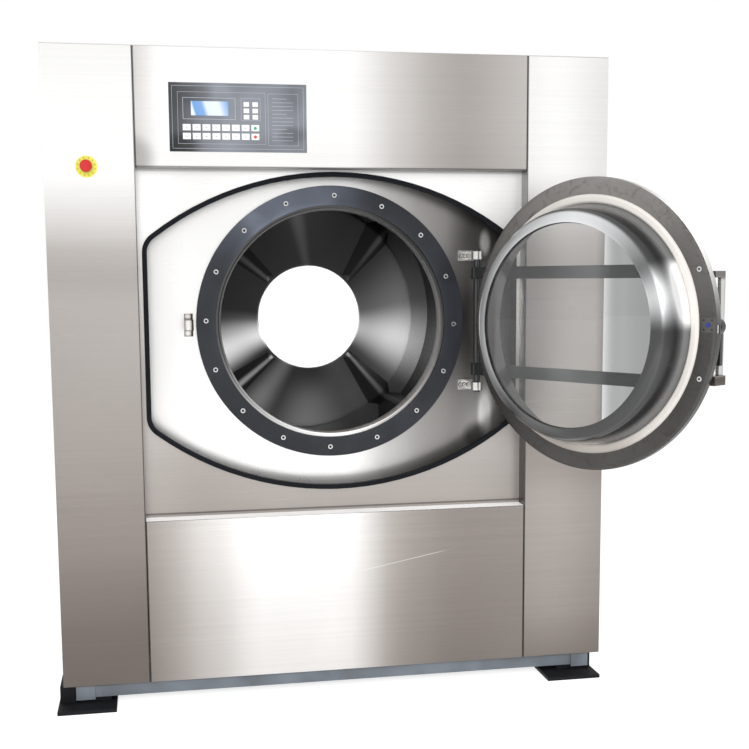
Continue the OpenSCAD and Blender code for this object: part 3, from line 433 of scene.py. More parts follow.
def new_material(name: str) -> tuple[bpy.types.Material, Wires, bpy.types.Node, Value]:
    """Starts a material and returns it with its wires, its shader and its object coordinates."""
    material = bpy.data.materials.new(name)
    material.use_nodes = True
    wires = Wires(material.node_tree)
    shader = material.node_tree.nodes["Principled BSDF"]
    return material, wires, shader, wires.add("TexCoord").outputs["Object"]


def drawn_shut(wires: Wires, place: Value) -> Value:
    """Turns a place on the open door back to where it is drawn shut."""
    back = Matrix.Rotation(-OPEN_ANGLE, 3, "Z")
    return wires.add("Mapping", {0: place, 1: HINGE - back @ HINGE, 2: (0, 0, -OPEN_ANGLE)}).outputs[0]


def facing_up(wires: Wires) -> Value:
    """How far a surface faces up."""
    return wires.parts(wires.add("NewGeometry").outputs["Normal"])[2]


class Grain(Enum):
    """Which way the brushing runs, as the stretch of its noise along x, y and z."""

    ACROSS = (5.0, 5.0, 1400.0)
    DEEP = (1400.0, 5.0, 1400.0)
    FLAT = (90.0, 90.0, 90.0)


class HoleRows(Enum):
    """Which perforated sheet a finish is for, by the radius in metres that its rows are measured at."""

    NONE = 0.0
    WALL = 0.49
    BACK = 0.36


class Axis(Enum):
    """Along which way a tone changes."""

    ACROSS = 0
    DEEP = 1
    UP = 2
    OUTWARD = 3


ACROSS, DEEP, UP, OUTWARD = Axis


@dataclass(frozen=True)
class Ramp:
    """Painted reflection and shade: a soft change of tone along one axis, with places in metres and the tone at
    each.
    """

    axis: Axis
    stops: tuple[tuple[float, float], ...]
    warmth: float = 1.0

    def tone(self, wires: Wires, places: tuple[Value, ...]) -> Value:
        """Builds the ramp's nodes and returns its tone, warmer where it is darker."""
        low, high = self.stops[0][0], self.stops[-1][0]
        powers = [1 + self.warmth * lean for lean in WARM_LEAN]
        stops = [((at - low) / (high - low), tuple(level ** power for power in powers))
                 for at, level in self.stops]
        return wires.toned(places[self.axis.value], low, high, stops, "CARDINAL")


@dataclass(frozen=True)
class Seam:
    """Dark line of a joint, at one place along one axis, in metres."""

    axis: Axis
    place: float
    width: float = 0.004
    level: float = 0.30

    def tone(self, wires: Wires, places: tuple[Value, ...]) -> Value:
        """Builds the line's nodes and returns its grey tone."""
        return wires.spread(wires.off(places[self.axis.value], self.place), self.width * 0.3, self.width,
                            self.level, 1.0)


@dataclass(frozen=True)
class Spot:
    """A soft painted highlight or painted shade on the front, an oval given by its middle and half sizes in
    metres.
    """

    x: float
    z: float
    half_width: float
    half_height: float
    strength: float

    def tone(self, wires: Wires, places: tuple[Value, ...]) -> Value:
        """Builds the oval's nodes and returns its tone, 1 outside it."""
        side = wires.over(wires.minus(places[0], self.x), self.half_width)
        rise = wires.over(wires.minus(places[2], self.z), self.half_height)
        share = wires.spread(wires.length(side, rise), 0.35, 1.0, 1.0, 0.0)
        return wires.math("MULTIPLY_ADD", share, self.strength, 1.0)


@dataclass(frozen=True)
class Lobe:
    """A soft painted highlight at one angle in degrees about the drum axis, painted shade where its levels are
    negative, with one level far in and one far out.
    """

    angle: float
    width: float
    inner: float
    outer: float

    def added(self, wires: Wires, angle: Value, far: Value, level: Value) -> Value:
        """Adds the highlight to a level.

        Args:
            wires: Wires of the material.
            angle: Angle about the axis.
            far: Share of the way outward.
            level: The level so far.

        Returns:
            The new level.
        """
        away = wires.math("WRAP", wires.minus(angle, math.radians(self.angle)), math.pi, -math.pi)
        share = wires.spread(wires.math("ABSOLUTE", away), 0.0, math.radians(self.width), 1.0, 0.0)
        strength = wires.math("MULTIPLY_ADD", far, self.outer - self.inner, self.inner)
        return wires.math("MULTIPLY_ADD", share, strength, level)


@dataclass(frozen=True)
class Scratch:
    """A thin pale scratch between two places on the front, each as x and z in metres."""

    start: tuple[float, float]
    end: tuple[float, float]
    width: float = 0.0016

    def mask(self, wires: Wires, place: Value) -> Value:
        """Builds the scratch's nodes and returns where it shows."""
        turn = math.atan2(self.end[1] - self.start[1], self.end[0] - self.start[0])
        length = math.dist(self.start, self.end)
        local = wires.add("Mapping", {0: place, 1: (self.start[0], 0.0, self.start[1]), 2: (0.0, -turn, 0.0)},
                          vector_type="TEXTURE").outputs[0]
        along, _, across = wires.parts(local)
        across = wires.spread(wires.math("ABSOLUTE", across), 0.0, self.width, 1.0, 0.0)
        along = wires.spread(wires.off(along, length / 2), length / 4, length / 2, 1.0, 0.0)
        return wires.times(across, along)


@dataclass(frozen=True)
class Finish:
    """What all finishes share: colour, bands and ovals of painted reflection and shade, joint lines and painted
    highlights about the axis.
    """

    name: str
    color: Color = (0.5, 0.5, 0.5)
    roughness: float = 0.4
    ramps: tuple[Ramp, ...] = ()
    seams: tuple[Seam, ...] = ()
    spots: tuple[Spot, ...] = ()
    lobes: tuple[Lobe, ...] = ()
    base: tuple[float, float] = (1.0, 1.0)
    span: tuple[float, float] = (0.18, 0.42)

    def shade(self, wires: Wires, color: Value, place: Value, about: list[Value]) -> Value:
        """Lays the bands of painted reflection and shade, the joint lines and the painted highlights over a
        colour.

        Args:
            wires: Wires of the material.
            color: The colour so far.
            place: Place on the machine, drawn shut.
            about: Angle and radius about the drum axis.

        Returns:
            The shaded colour.
        """
        places = (*wires.parts(place), about[1])
        for tone in (*self.ramps, *self.seams, *self.spots):
            color = wires.mix(1.0, color, tone.tone(wires, places), "MULTIPLY")
        if self.lobes:
            far = wires.spread(about[1], *self.span)
            level = wires.math("MULTIPLY_ADD", far, self.base[1] - self.base[0], self.base[0])
            for lobe in self.lobes:
                level = lobe.added(wires, about[0], far, level)
            color = wires.mix(1.0, color, level, "MULTIPLY")
        return color


@dataclass(frozen=True)
class Steel(Finish):
    """Stainless steel with brushed grain, soft clouds, wipe marks and the painted reflection, shade and
    highlights of its finish.
    """

    color: Color = (0.93, 0.925, 0.915)
    roughness: float = 0.30
    grain: Grain = Grain.ACROSS
    streaks: float = 0.10
    clouds: float = 0.05
    bump: float = 0.04
    metallic: float = 0.8
    scratch: Scratch | None = None
    painted_lit_top: bool = False
    on_door: bool = False
    turned_grain: bool = False
    holes: HoleRows = HoleRows.NONE
    edges: float = 0.0
    stains: float = 0.0
    cloud_scale: float = 2.2
    stain_scale: float = 5.0
    tarnish: float = 0.4
    grain_rough: float = 0.06
    wipe_rough: float = 0.03
    scratch_strength: float = 0.45
    hole_strength: float = 0.55
    top_glow: float = 0.35

    def make(self) -> bpy.types.Material:
        """Builds the material."""
        material, wires, shader, place = new_material(self.name)
        if self.on_door:
            place = drawn_shut(wires, place)
        about = wires.group(ROUND, place)
        tone, height = wires.group(GRAIN, about[2] if self.turned_grain else place, self.grain.value)
        clouds, wipes = wires.group(CLOUDS, place, self.cloud_scale)
        color = wires.mix(clouds, four(self.color, 1 - self.clouds), four(self.color))
        color = wires.mix(wires.times(tone, self.streaks), color, four(self.color, self.tarnish))
        color = self.shade(wires, color, place, about)
        if self.stains:
            stained = wires.times(wires.group(CLOUDS, place, self.stain_scale)[1], self.stains)
            color = wires.mix(stained, color, STAIN)
        # Painted shade: the colour darkens where the surface turns away from the view, as on the sides of a
        # round bar.
        if self.edges:
            facing = wires.add("LayerWeight", {0: 0.5}).outputs["Facing"]
            color = wires.mix(1.0, color, wires.spread(facing, 0.3, 0.95, 1.0, 1.0 - self.edges), "MULTIPLY")
        if self.scratch:
            scratched = wires.times(self.scratch.mask(wires, place), self.scratch_strength)
            color = wires.mix(scratched, color, four(self.color))
        rough = wires.plus(wires.times(tone, self.grain_rough), self.roughness - self.grain_rough / 2)
        rough = wires.plus(rough, wires.times(wipes, self.wipe_rough))
        wires.feed(shader, {"Metallic": self.metallic})
        # Painted light: faces that lie upward get a near-white colour, less metal and a faint glow, though they
        # are no lamp.
        if self.painted_lit_top:
            lying = wires.spread(facing_up(wires), 0.6, 0.95)
            color = wires.mix(lying, color, LIT_STEEL)
            wires.feed(shader, {"Metallic": wires.math("SUBTRACT", self.metallic, lying, clamp=True),
                                "Emission Strength": wires.times(lying, self.top_glow)})
        if self.holes is not HoleRows.NONE:
            across = wires.parts(place)[1] if self.holes is HoleRows.WALL else about[1]
            shown = wires.group(HOLES, wires.times(about[0], self.holes.value), across)[0]
            if self.holes is HoleRows.BACK:
                shown = wires.times(shown, wires.spread(about[1], 0.24, 0.40))
            color = wires.mix(wires.times(shown, self.hole_strength), color, HOLLOW)
            height = wires.minus(wires.times(height, 0.2), shown)
        bump = wires.add("Bump", {"Height": height, "Strength": self.bump, "Distance": 0.001}).outputs[0]
        wires.feed(shader, {"Base Color": color, "Roughness": rough, "Normal": bump})
        return material


@dataclass(frozen=True)
class Coating(Finish):
    """Paint, rubber or plastic with a fine texture, clouds, dust and the painted shade and highlights of its
    finish.
    """

    mottle: float = 0.12
    texture: float = 500.0
    bump: float = 0.15
    dust: float = 0.0
    coat: float = 0.0
    shine: float = 0.5
    cloud_scale: float = 7.0

    def make(self) -> bpy.types.Material:
        """Builds the material."""
        material, wires, shader, place = new_material(self.name)
        clouds, wipes = wires.group(CLOUDS, place, self.cloud_scale)
        fine = wires.noise(Vector=place, Scale=self.texture, Detail=3.0)
        color = wires.mix(clouds, four(self.color, 1 - self.mottle), four(self.color, 1 + self.mottle))
        color = self.shade(wires, color, place, wires.group(ROUND, place))
        if self.dust > 0:
            lying = wires.times(wires.spread(facing_up(wires), 0.2, 0.95),
                                wires.spread(wipes, 0.0, 0.8, 0.3, 1.0))
            color = wires.mix(wires.times(lying, self.dust), color, DUST)
        rough = wires.spread(wipes, 0.0, 1.0, self.roughness, min(1.0, self.roughness + 0.12))
        bump = wires.add("Bump", {"Height": fine, "Strength": self.bump, "Distance": 0.0006}).outputs[0]
        wires.feed(shader, {"Base Color": color, "Roughness": rough, "Normal": bump, "Coat Weight": self.coat,
                            "Specular IOR Level": self.shine, "Coat Roughness": 0.12})
        return material


@dataclass(frozen=True)
class ClearGlass(Finish):
    """Door glass with a faint tint, wipe marks and the painted shade of its finish."""

    clouded: Color = (0.93, 0.96, 0.955)
    cloud_scale: float = 3.0
    smear: float = 0.05

    def make(self) -> bpy.types.Material:
        """Builds the material."""
        material, wires, shader, place = new_material(self.name)
        clouds, wipes = wires.group(CLOUDS, place, self.cloud_scale)
        color = wires.mix(wires.times(clouds, 0.2), four(self.color), four(self.clouded))
        shut = drawn_shut(wires, place)
        color = self.shade(wires, color, shut, wires.group(ROUND, shut))
        wires.feed(shader, {"Roughness": wires.spread(wipes, 0.0, 1.0, 0.0, self.smear), "Base Color": color,
                            "Transmission Weight": 1.0, "IOR": 1.5})
        return material


@dataclass(frozen=True)
class PaleScreen(Finish):
    """Switched-off liquid crystal screen with soft slanting reflections between two places along x."""

    sheen: Color = (0.13, 0.30, 0.60)
    slant: float = 0.3
    low: float = 0.0875
    high: float = 0.2204
    bands: tuple[tuple[float, float], ...] = ((0.0, 0.0), (0.13, 0.0), (0.18, 1.0), (0.36, 0.9), (0.44, 0.1),
                                              (0.70, 0.0), (0.80, 0.5), (0.94, 1.0))

    def make(self) -> bpy.types.Material:
        """Builds the material."""
        material, wires, shader, place = new_material(self.name)
        x, _, z = wires.parts(place)
        along = wires.math("MULTIPLY_ADD", z, self.slant, x)
        stops = [(at, (level,) * 3) for at, level in self.bands]
        sheen = wires.toned(along, self.low, self.high, stops, "LINEAR")
        wires.feed(shader, {"Base Color": wires.mix(sheen, four(self.color), four(self.sheen)),
                            "Roughness": self.roughness})
        return material


Smooth = partial(Steel, grain=Grain.FLAT)
Turned = partial(Steel, grain=Grain.DEEP)
Print = partial(Coating, roughness=0.4, texture=1500.0)
# The ramps, ovals and lobes of the finishes below are painted light: bands and ovals of painted reflection and
# shade on the sheets, and painted highlights and reflections on the round parts.
SIDE_BANDS = (
    Ramp(UP, ((0.06, 0.36), (0.45, 0.50), (0.95, 0.62), (1.25, 0.58), (1.55, 0.85), (1.89, 0.95))),
    Ramp(DEEP, ((-0.75, 0.80), (-0.45, 1.0), (0.05, 0.84), (0.40, 0.92), (0.75, 0.72))))
FINISHES: dict[str, Finish] = {
    "left_column": Steel("Left column sheet", seams=(Seam(ACROSS, -0.575),), ramps=(
        Ramp(UP, ((0.06, 0.15), (0.24, 0.16), (0.44, 0.215), (0.64, 0.27), (0.90, 0.375), (1.16, 0.46),
                  (1.27, 0.45), (1.36, 0.62), (1.54, 1.0))),)),
    "right_column": Steel("Right column sheet", (1.0, 0.995, 0.985), seams=(Seam(ACROSS, 0.575),), ramps=(
        Ramp(ACROSS, ((0.575, 0.95), (0.68, 1.0), (0.825, 0.83))),
        Ramp(UP, ((0.06, 0.20), (0.20, 0.27), (0.54, 0.34), (0.70, 0.31), (0.90, 0.42), (1.14, 0.52),
                  (1.29, 0.48), (1.42, 0.70), (1.56, 1.0))))),
    "top_fascia": Steel(
        # The oval at the lower left corner is painted shade.
        "Fascia sheet", (1.0, 0.995, 0.985), spots=(Spot(-0.575, 1.585, 0.07, 0.08, -0.35),),
        seams=(Seam(ACROSS, -0.5735), Seam(ACROSS, 0.5735), Seam(UP, 1.559, 0.005)), ramps=(
            Ramp(ACROSS, ((-0.575, 0.68), (-0.50, 1.0), (0.04, 1.0), (0.14, 0.76), (0.24, 0.56), (0.36, 0.43),
                          (0.47, 0.48), (0.57, 0.56))),
            Ramp(UP, ((1.56, 0.93), (1.70, 1.0))))),
    "lower_access_panel": Steel(
        # The ledge on top is painted near white with a faint glow: painted light.
        "Access panel sheet", painted_lit_top=True, scratch=Scratch((0.033, 0.3585), (0.354, 0.420)),
        seams=(Seam(ACROSS, -0.5735), Seam(ACROSS, 0.5735), Seam(UP, 0.544, 0.003, 0.45)), ramps=(
            Ramp(ACROSS, ((-0.575, 0.29), (-0.45, 0.54), (-0.33, 0.79), (-0.24, 1.0), (0.03, 0.94),
                          (0.14, 0.47), (0.30, 0.28), (0.57, 0.275))),
            Ramp(UP, ((0.06, 0.78), (0.30, 0.86), (0.56, 1.0))))),
    "recess_panel": Steel(
        "Recess sheet", (1.0, 0.995, 0.985), metallic=0.4,
        # The wide line under the fascia is a painted shadow; the thin line at the bottom is a joint.
        seams=(Seam(UP, 1.559, 0.010, 0.6), Seam(UP, 0.553, 0.004, 0.4)), ramps=(
            Ramp(UP, ((0.54, 0.33), (0.80, 0.48), (1.00, 0.58), (1.18, 0.76), (1.28, 0.82), (1.40, 0.94),
                      (1.50, 1.0))),
            Ramp(ACROSS, ((-0.575, 0.96), (-0.40, 0.86), (-0.15, 1.0), (0.575, 1.0))))),
    "left_side_panel": Steel("Left side sheet", roughness=0.34, ramps=SIDE_BANDS),
    "right_side_panel": Steel("Right side sheet", roughness=0.34, ramps=SIDE_BANDS),
    "rear_panel": Steel("Rear sheet", roughness=0.36, ramps=(
        Ramp(UP, ((0.06, 0.34), (0.60, 0.52), (1.20, 0.56), (1.60, 0.72), (1.89, 0.85))),
        Ramp(ACROSS, ((-0.82, 0.80), (-0.35, 1.0), (0.25, 0.82), (0.82, 0.92))))),
    "drive_cover": Steel("Belt cover sheet", roughness=0.34, ramps=(
        Ramp(UP, ((0.35, 0.42), (0.80, 0.60), (1.20, 0.56), (1.48, 0.80))),
        Ramp(ACROSS, ((-0.52, 0.75), (-0.15, 1.0), (0.52, 0.80))))),
    "roof_panel": Turned("Roof sheet", roughness=0.36, ramps=(
        Ramp(DEEP, ((-0.75, 0.85), (-0.20, 0.70), (0.30, 0.80), (0.75, 0.60))),
        Ramp(ACROSS, ((-0.82, 0.85), (0.0, 1.0), (0.82, 0.78))))),
    # Painted reflection and shade on the polished plate: a lip that is dark with a bright lower right, a bright
    # streak under the lower hinge, dark areas by the hinges and bands across it.
    "tub_front_plate": Smooth(
        "Front plate", streaks=0.02, bump=0.01, span=(0.350, 0.356), base=(0.10, 1.0),
        lobes=(Lobe(295, 115, 1.0, 0.0), Lobe(2, 34, 0.0, -0.20)),
        spots=(Spot(0.484, 0.820, 0.030, 0.10, 1.6), Spot(0.455, 0.750, 0.055, 0.055, -0.6),
               Spot(0.50, 1.39, 0.15, 0.19, -0.72), Spot(0.482, 1.350, 0.022, 0.05, 5.0),
               Spot(0.46, 1.10, 0.10, 0.22, -0.65)), ramps=(
            Ramp(DEEP, ((-0.635, 1.0), (-0.632, 0.35), (-0.6225, 0.35), (-0.6205, 1.0), (-0.6185, 0.35),
                        (-0.580, 0.20))),
            Ramp(ACROSS, ((-0.60, 0.8), (-0.44, 1.0), (0.05, 1.0), (0.14, 0.66), (0.24, 0.42), (0.36, 0.28),
                          (0.42, 0.30), (0.475, 0.48), (0.53, 0.40), (0.60, 0.3)), 0.35))),
    "polished_steel": Smooth("Polished steel", (0.72, 0.71, 0.69), 0.22, streaks=0.03, bump=0.01),
    # The bands across and up the keeper are painted chrome reflections.
    "latch_keeper": Smooth("Keeper steel", roughness=0.18, streaks=0.02, bump=0.01, ramps=(
        Ramp(ACROSS, ((-0.4455, 0.12), (-0.4435, 0.55), (-0.436, 0.95), (-0.427, 0.60), (-0.4245, 0.10),
                      (-0.4195, 0.07))),
        Ramp(UP, ((1.074, 0.3), (1.078, 0.8), (1.088, 1.0), (1.092, 0.35), (1.097, 1.0), (1.121, 1.0),
                  (1.126, 0.3), (1.131, 0.9), (1.142, 0.6))))),
    # The darker sides and the bright band along the bar are painted shade and a painted highlight.
    "grab_bar": Smooth("Handle steel", (0.62, 0.61, 0.60), 0.2, streaks=0.03, bump=0.01, edges=0.85, ramps=(
        Ramp(UP, ((0.964, 0.20), (0.985, 0.24), (0.992, 1.0), (1.230, 1.0), (1.238, 0.45), (1.256, 0.35))),)),
    "tub_steel": Smooth("Tub sheet", (0.55, 0.54, 0.52), 0.38),
    # Darker deeper into the drum: painted shade.
    "drum_wall": Turned("Perforated wall", (0.060, 0.060, 0.060), 0.34, metallic=0.4, bump=0.2,
                        holes=HoleRows.WALL, ramps=(
                            Ramp(DEEP, ((-0.60, 1.0), (-0.40, 0.8), (-0.10, 0.35), (0.18, 0.25))),)),
    # The lobes are painted highlights on the cone's sectors, over a base painted dark as shade.
    "drum_back": Turned(
        "Perforated back", (0.95, 0.95, 0.95), metallic=0.1, turned_grain=True, clouds=0.15, bump=0.12,
        holes=HoleRows.BACK, base=(0.032, 0.036), lobes=(
            Lobe(199, 19, 0.80, 0.55), Lobe(206, 15, 0.0, 0.95), Lobe(346, 22, 0.42, 0.85),
            Lobe(356, 48, 0.10, 0.24), Lobe(92, 7, 0.03, 0.08), Lobe(90, 26, 0.0, 0.02),
            Lobe(242, 13, 0.09, 0.26), Lobe(272, 26, 0.0, 0.24), Lobe(300, 26, 0.035, 0.06),
            Lobe(185, 12, 0.10, 0.0))),
    # The lobes paint a thin highlight along each lifter's ridge.
    "drum_lifters": Turned("Lifter sheet", (0.95, 0.95, 0.95), metallic=0.1, base=(0.018, 0.018), lobes=(
        Lobe(43, 3.0, 0.02, 0.09), Lobe(137, 3.0, 0.08, 0.05), Lobe(226, 3.0, 0.30, 0.60),
        Lobe(316, 2.6, 0.24, 0.12))),
    # Pure white, brighter than the other steel: a painted reflection on the polished cover.
    "hub_steel": Smooth("Hub cover", (1.0, 1.0, 1.0), 0.16, metallic=0.3, clouds=0.0, streaks=0.0, bump=0.0),
    # Painted reflections on the spun bowl: bright streaks and bands with dark gaps between them.
    "bowl_steel": Turned(
        "Spun bowl", (0.915, 0.925, 0.935), 0.20, bump=0.02, metallic=0.35, on_door=True, turned_grain=True,
        span=(0.303, 0.311), base=(0.20, 0.32), lobes=(
            Lobe(98, 64, 2.5, 0.0), Lobe(164, 18, 1.9, 7.0), Lobe(344, 42, 1.65, 0.25),
            Lobe(34, 50, 1.6, 0.0), Lobe(292, 36, 0.24, 0.0), Lobe(268, 16, 0.0, 1.4)), ramps=(
            Ramp(OUTWARD, ((0.276, 0.36), (0.283, 0.32), (0.293, 0.30), (0.303, 0.29), (0.308, 0.27),
                           (0.312, 0.16), (0.321, 0.15), (0.326, 0.70), (0.331, 1.0)), 0.0),)),
    # Darker than the bowl's outside: painted shade inside the bowl.
    "bowl_inside": Turned("Bowl inside", (0.10, 0.10, 0.10), on_door=True, metallic=0.5, turned_grain=True),
    # The ovals are painted highlights and painted shade on the arms.
    "door_arms": Smooth("Arm steel", (0.090, 0.092, 0.094), 0.34, clouds=0.30, on_door=True, spots=(
        Spot(-0.05, 1.26, 0.20, 0.24, 1.1), Spot(0.16, 0.96, 0.17, 0.24, 1.2),
        Spot(-0.34, 0.96, 0.24, 0.24, -0.25))),
    "rim_steel": Smooth("Satin dark steel", (0.075, 0.073, 0.072), 0.36, clouds=0.30),
    # The lobes are painted highlights on the rim.
    "door_rim": Smooth("Door rim", (0.21, 0.200, 0.192), 0.38, streaks=0.15, clouds=0.35, stains=0.6,
                       on_door=True, span=(0.386, 0.404), base=(0.48, 0.45),
                       lobes=(Lobe(105, 95, 1.35, 1.25), Lobe(20, 60, 0.7, 0.25))),
    # A dark base with one lobe: a painted highlight on the rim's outer side.
    "rim_edge": Smooth("Rim edge", (0.95, 0.945, 0.935), 0.25, streaks=0.05, metallic=0.3, on_door=True,
                       base=(0.05, 0.05), lobes=(Lobe(138, 44, 1.1, 1.1),)),
    "screw_steel": Smooth("Bright screws", (0.62, 0.62, 0.62), 0.18, bump=0.01),
    "bearing_steel": Turned("Ground steel", (0.60, 0.60, 0.60), 0.2),
    "latch_plate_steel": Smooth("Latch plate", (0.12, 0.116, 0.112)),
    "brass": Turned("Turned brass", (0.72, 0.53, 0.25), 0.28),
    "spring_steel": Coating("Spring paint", (0.05, 0.05, 0.055), 0.45, dust=0.3),
    "painted_frame": Coating("Frame paint", (0.17, 0.19, 0.215), 0.5, mottle=0.2, dust=0.1, shine=0.3),
    "painted_box": Coating("Box paint", (0.62, 0.63, 0.62), texture=900.0, bump=0.25),
    "cast_paint": Coating("Casting paint", (0.10, 0.11, 0.12), 0.55, texture=260.0, bump=0.5, dust=0.3),
    "motor_paint": Coating("Motor paint", (0.07, 0.11, 0.15), texture=400.0, bump=0.3, dust=0.3, coat=0.2),
    # The lobe is a painted highlight on the ring's upper left.
    "ring_rubber": Coating("Mouth ring", (0.016, 0.018, 0.023), 0.48, mottle=0.3, texture=700.0, bump=0.25,
                           shine=0.4, lobes=(Lobe(112, 46, 6.5, 7.5),)),
    "trim_rubber": Coating("Edge trim", (0.005, 0.006, 0.008), 0.5, texture=800.0, shine=0.14),
    # Darker towards the bottom: painted shadow of the bowl's nose.
    "seal_rubber": Coating("Seal rubber", (0.76, 0.725, 0.685), 0.5, mottle=0.06, texture=600.0, bump=0.1,
                           ramps=(Ramp(UP, ((0.75, 0.55), (0.84, 0.90), (1.10, 1.0))),)),
    "rubber": Coating("Black rubber", (0.008, 0.008, 0.010), 0.6, texture=350.0, bump=0.4, shine=0.2),
    # The ovals and the band across are painted reflection and painted shade on the film.
    "film": Print(
        "Keypad film", (0.165, 0.175, 0.198), roughness=0.32, mottle=0.28, bump=0.04, spots=(
            Spot(-0.450, 1.615, 0.075, 0.055, -0.75), Spot(-0.40, 1.76, 0.06, 0.05, -0.35),
            Spot(-0.29, 1.77, 0.10, 0.05, 0.2), Spot(-0.13, 1.65, 0.05, 0.035, -0.35)), ramps=(
            Ramp(ACROSS, ((-0.477, 0.22), (-0.445, 0.32), (-0.40, 0.60), (-0.34, 0.95), (-0.22, 1.0),
                          (-0.13, 0.9), (-0.087, 1.0)), 0.0),)),
    "print": Print("Pale print", (0.42, 0.45, 0.48), mottle=0.05, bump=0.0),
    "key_marks": Print("Key marks", (0.20, 0.22, 0.30), bump=0.0),
    "green_mark": Print("Green mark", (0.02, 0.36, 0.20), bump=0.0),
    "red_mark": Print("Red mark", (0.62, 0.05, 0.06), bump=0.0),
    "blue_cap": Coating("Blue cap", (0.02, 0.03, 0.22), 0.35, texture=1200.0, bump=0.02),
    # Near black: painted shade in screw sockets; it also colours the printed ticks of the stop plate and the
    # hinge washers.
    "dark_socket": Coating("Dark socket", (0.02, 0.02, 0.02), 0.6, texture=900.0, shine=0.2),
    "keys": Print("Key faces", (0.80, 0.81, 0.81), mottle=0.03, bump=0.05),
    "display_glass": PaleScreen("Display", (0.68, 0.74, 0.86), 0.25),
    "yellow_plate": Coating("Yellow plate", (0.74, 0.70, 0.105), 0.35, texture=1200.0, bump=0.05, shine=0.2),
    "red_plastic": Coating("Red button", (0.52, 0.030, 0.032), 0.35, texture=1200.0, bump=0.05, shine=0.25),
    "black_plastic": Coating("Black plastic", (0.02, 0.02, 0.021), texture=900.0),
    "drain_plastic": Coating("Pipe plastic", (0.12, 0.12, 0.13), 0.45, texture=900.0, bump=0.1, dust=0.2),
    # Darker towards one side: painted shade across the glass.
    "door_glass": ClearGlass("Door glass", (0.985, 0.993, 0.99), ramps=(
        Ramp(ACROSS, ((-0.278, 0.31), (-0.20, 0.37), (-0.150, 0.46), (-0.105, 0.98), (0.0, 1.0),
                      (0.278, 0.92)), 0.0),)),
}


class Workshop:
    """Makes each finish once and puts finished pieces in place of frame nodes."""

    screw_round = 0.0008
    head_slack = 0.0002

    def __init__(self) -> None:
        """Starts with no finish made."""
        self.made: dict[str, bpy.types.Material] = {}

    def finish(self, name: str) -> bpy.types.Material:
        """Material of a finish, made on its first use."""
        if name not in self.made:
            self.made[name] = FINISHES[name].make()
        return self.made[name]

    def mount(self, piece: Piece, node: str) -> None:
        """Finishes a piece that stands for a frame node and rides on its body.

        Args:
            piece: The new piece.
            node: The node that it replaces, which gives body, slot and finish.
        """
        if not piece.data.materials:
            piece.data.materials.append(self.finish(node if node in FINISHES else slot_of(node)))
        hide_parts(node)
        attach(piece, body_with(node))
        LOG.info("%s stands for %s: %d faces", piece.name, node, len(piece.data.polygons))

    def stretch(self, piece: Piece, node: str) -> None:
        """Finishes a piece that stands for a node and stretches from the cabinet below to the tub above.

        Args:
            piece: The new piece.
            node: The node that it replaces.
        """
        soften(piece, 0.0)
        piece.data.materials.append(self.finish(slot_of(node)))
        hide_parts(node)
        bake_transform(piece)
        LOG.info("%s stretches from the cabinet to the tub: %d faces", piece.name, len(piece.data.polygons))

    def add_on(self, piece: Piece, body: str, slot: str, finish: str) -> None:
        """Finishes a small piece that has no node of its own.

        Args:
            piece: The new piece.
            body: The body that it rides on.
            slot: The record's material slot that it counts to; not used.
            finish: Its own finish.
        """
        piece.data.materials.append(self.finish(finish))
        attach(piece, body)
        LOG.info("%s rides on %s: %d faces", piece.name, body, len(piece.data.polygons))

    def dress(self, *nodes: str) -> None:
        """Gives frame nodes that stay the material of their slot."""
        for node in nodes:
            for place in frame["nodes"][node].material_slots:
                place.material = self.finish(slot_of(node))
            LOG.info("%s keeps its own shape", node)

    def rounded(self, node: str, width: float, segments: int = 2) -> Piece:
        """Replaces a node by its own shape with rounded edges."""
        piece = traced(node)
        soften(piece, width, segments)
        self.mount(piece, node)
        return piece

    def paint(self, piece: Piece, finish: str, chosen: Callable[[bpy.types.MeshPolygon], bool]) -> None:
        """Gives some faces of a piece, whose own finish is set, a second finish.

        Args:
            piece: The piece.
            finish: The second finish.
            chosen: Test that a face passes to get it.
        """
        piece.data.materials.append(self.finish(finish))
        for face in piece.data.polygons:
            if chosen(face):
                face.material_index = len(piece.data.materials) - 1

    def socketed(self, node: str, width: float, depth: float, side: float) -> None:
        """Replaces round-headed screws by their own shape with sunk sockets, painted near black as painted
        shade.

        Args:
            node: The frame node.
            width: Width of the flat band round each socket in metres.
            depth: Depth of the sockets in metres.
            side: Which way the heads face along y, -1 for the front and 1 for the back.
        """
        piece = traced(node)
        piece.data.materials.append(self.finish(slot_of(node)))
        outer = max(face.center.y * side for face in piece.data.polygons)
        begin_edit(piece, "FACE")
        bpy.ops.mesh.select_all(action="DESELECT")
        end_edit()
        for face in piece.data.polygons:
            face.select = face.normal.y * side > 0.99 and face.center.y * side > outer - self.head_slack
        bpy.ops.object.mode_set(mode="EDIT")
        bpy.ops.mesh.inset(thickness=width, use_individual=True)
        bpy.ops.mesh.extrude_region_move(TRANSFORM_OT_translate={"value": (0, -depth * side, 0)})
        end_edit()
        self.paint(piece, "dark_socket", lambda face: face.select)
        soften(piece, self.screw_round)
        self.mount(piece, node)


# The studio and the machine, one class for each sub-assembly


def shown_ray(wires: Wires) -> Value:
    """One for rays that show the surroundings to the camera, to metal or to glass."""
    path = wires.add("LightPath").outputs
    seen = wires.math("MAXIMUM", path["Is Camera Ray"], path["Is Transmission Ray"])
    return wires.math("MAXIMUM", seen, path["Is Glossy Ray"])


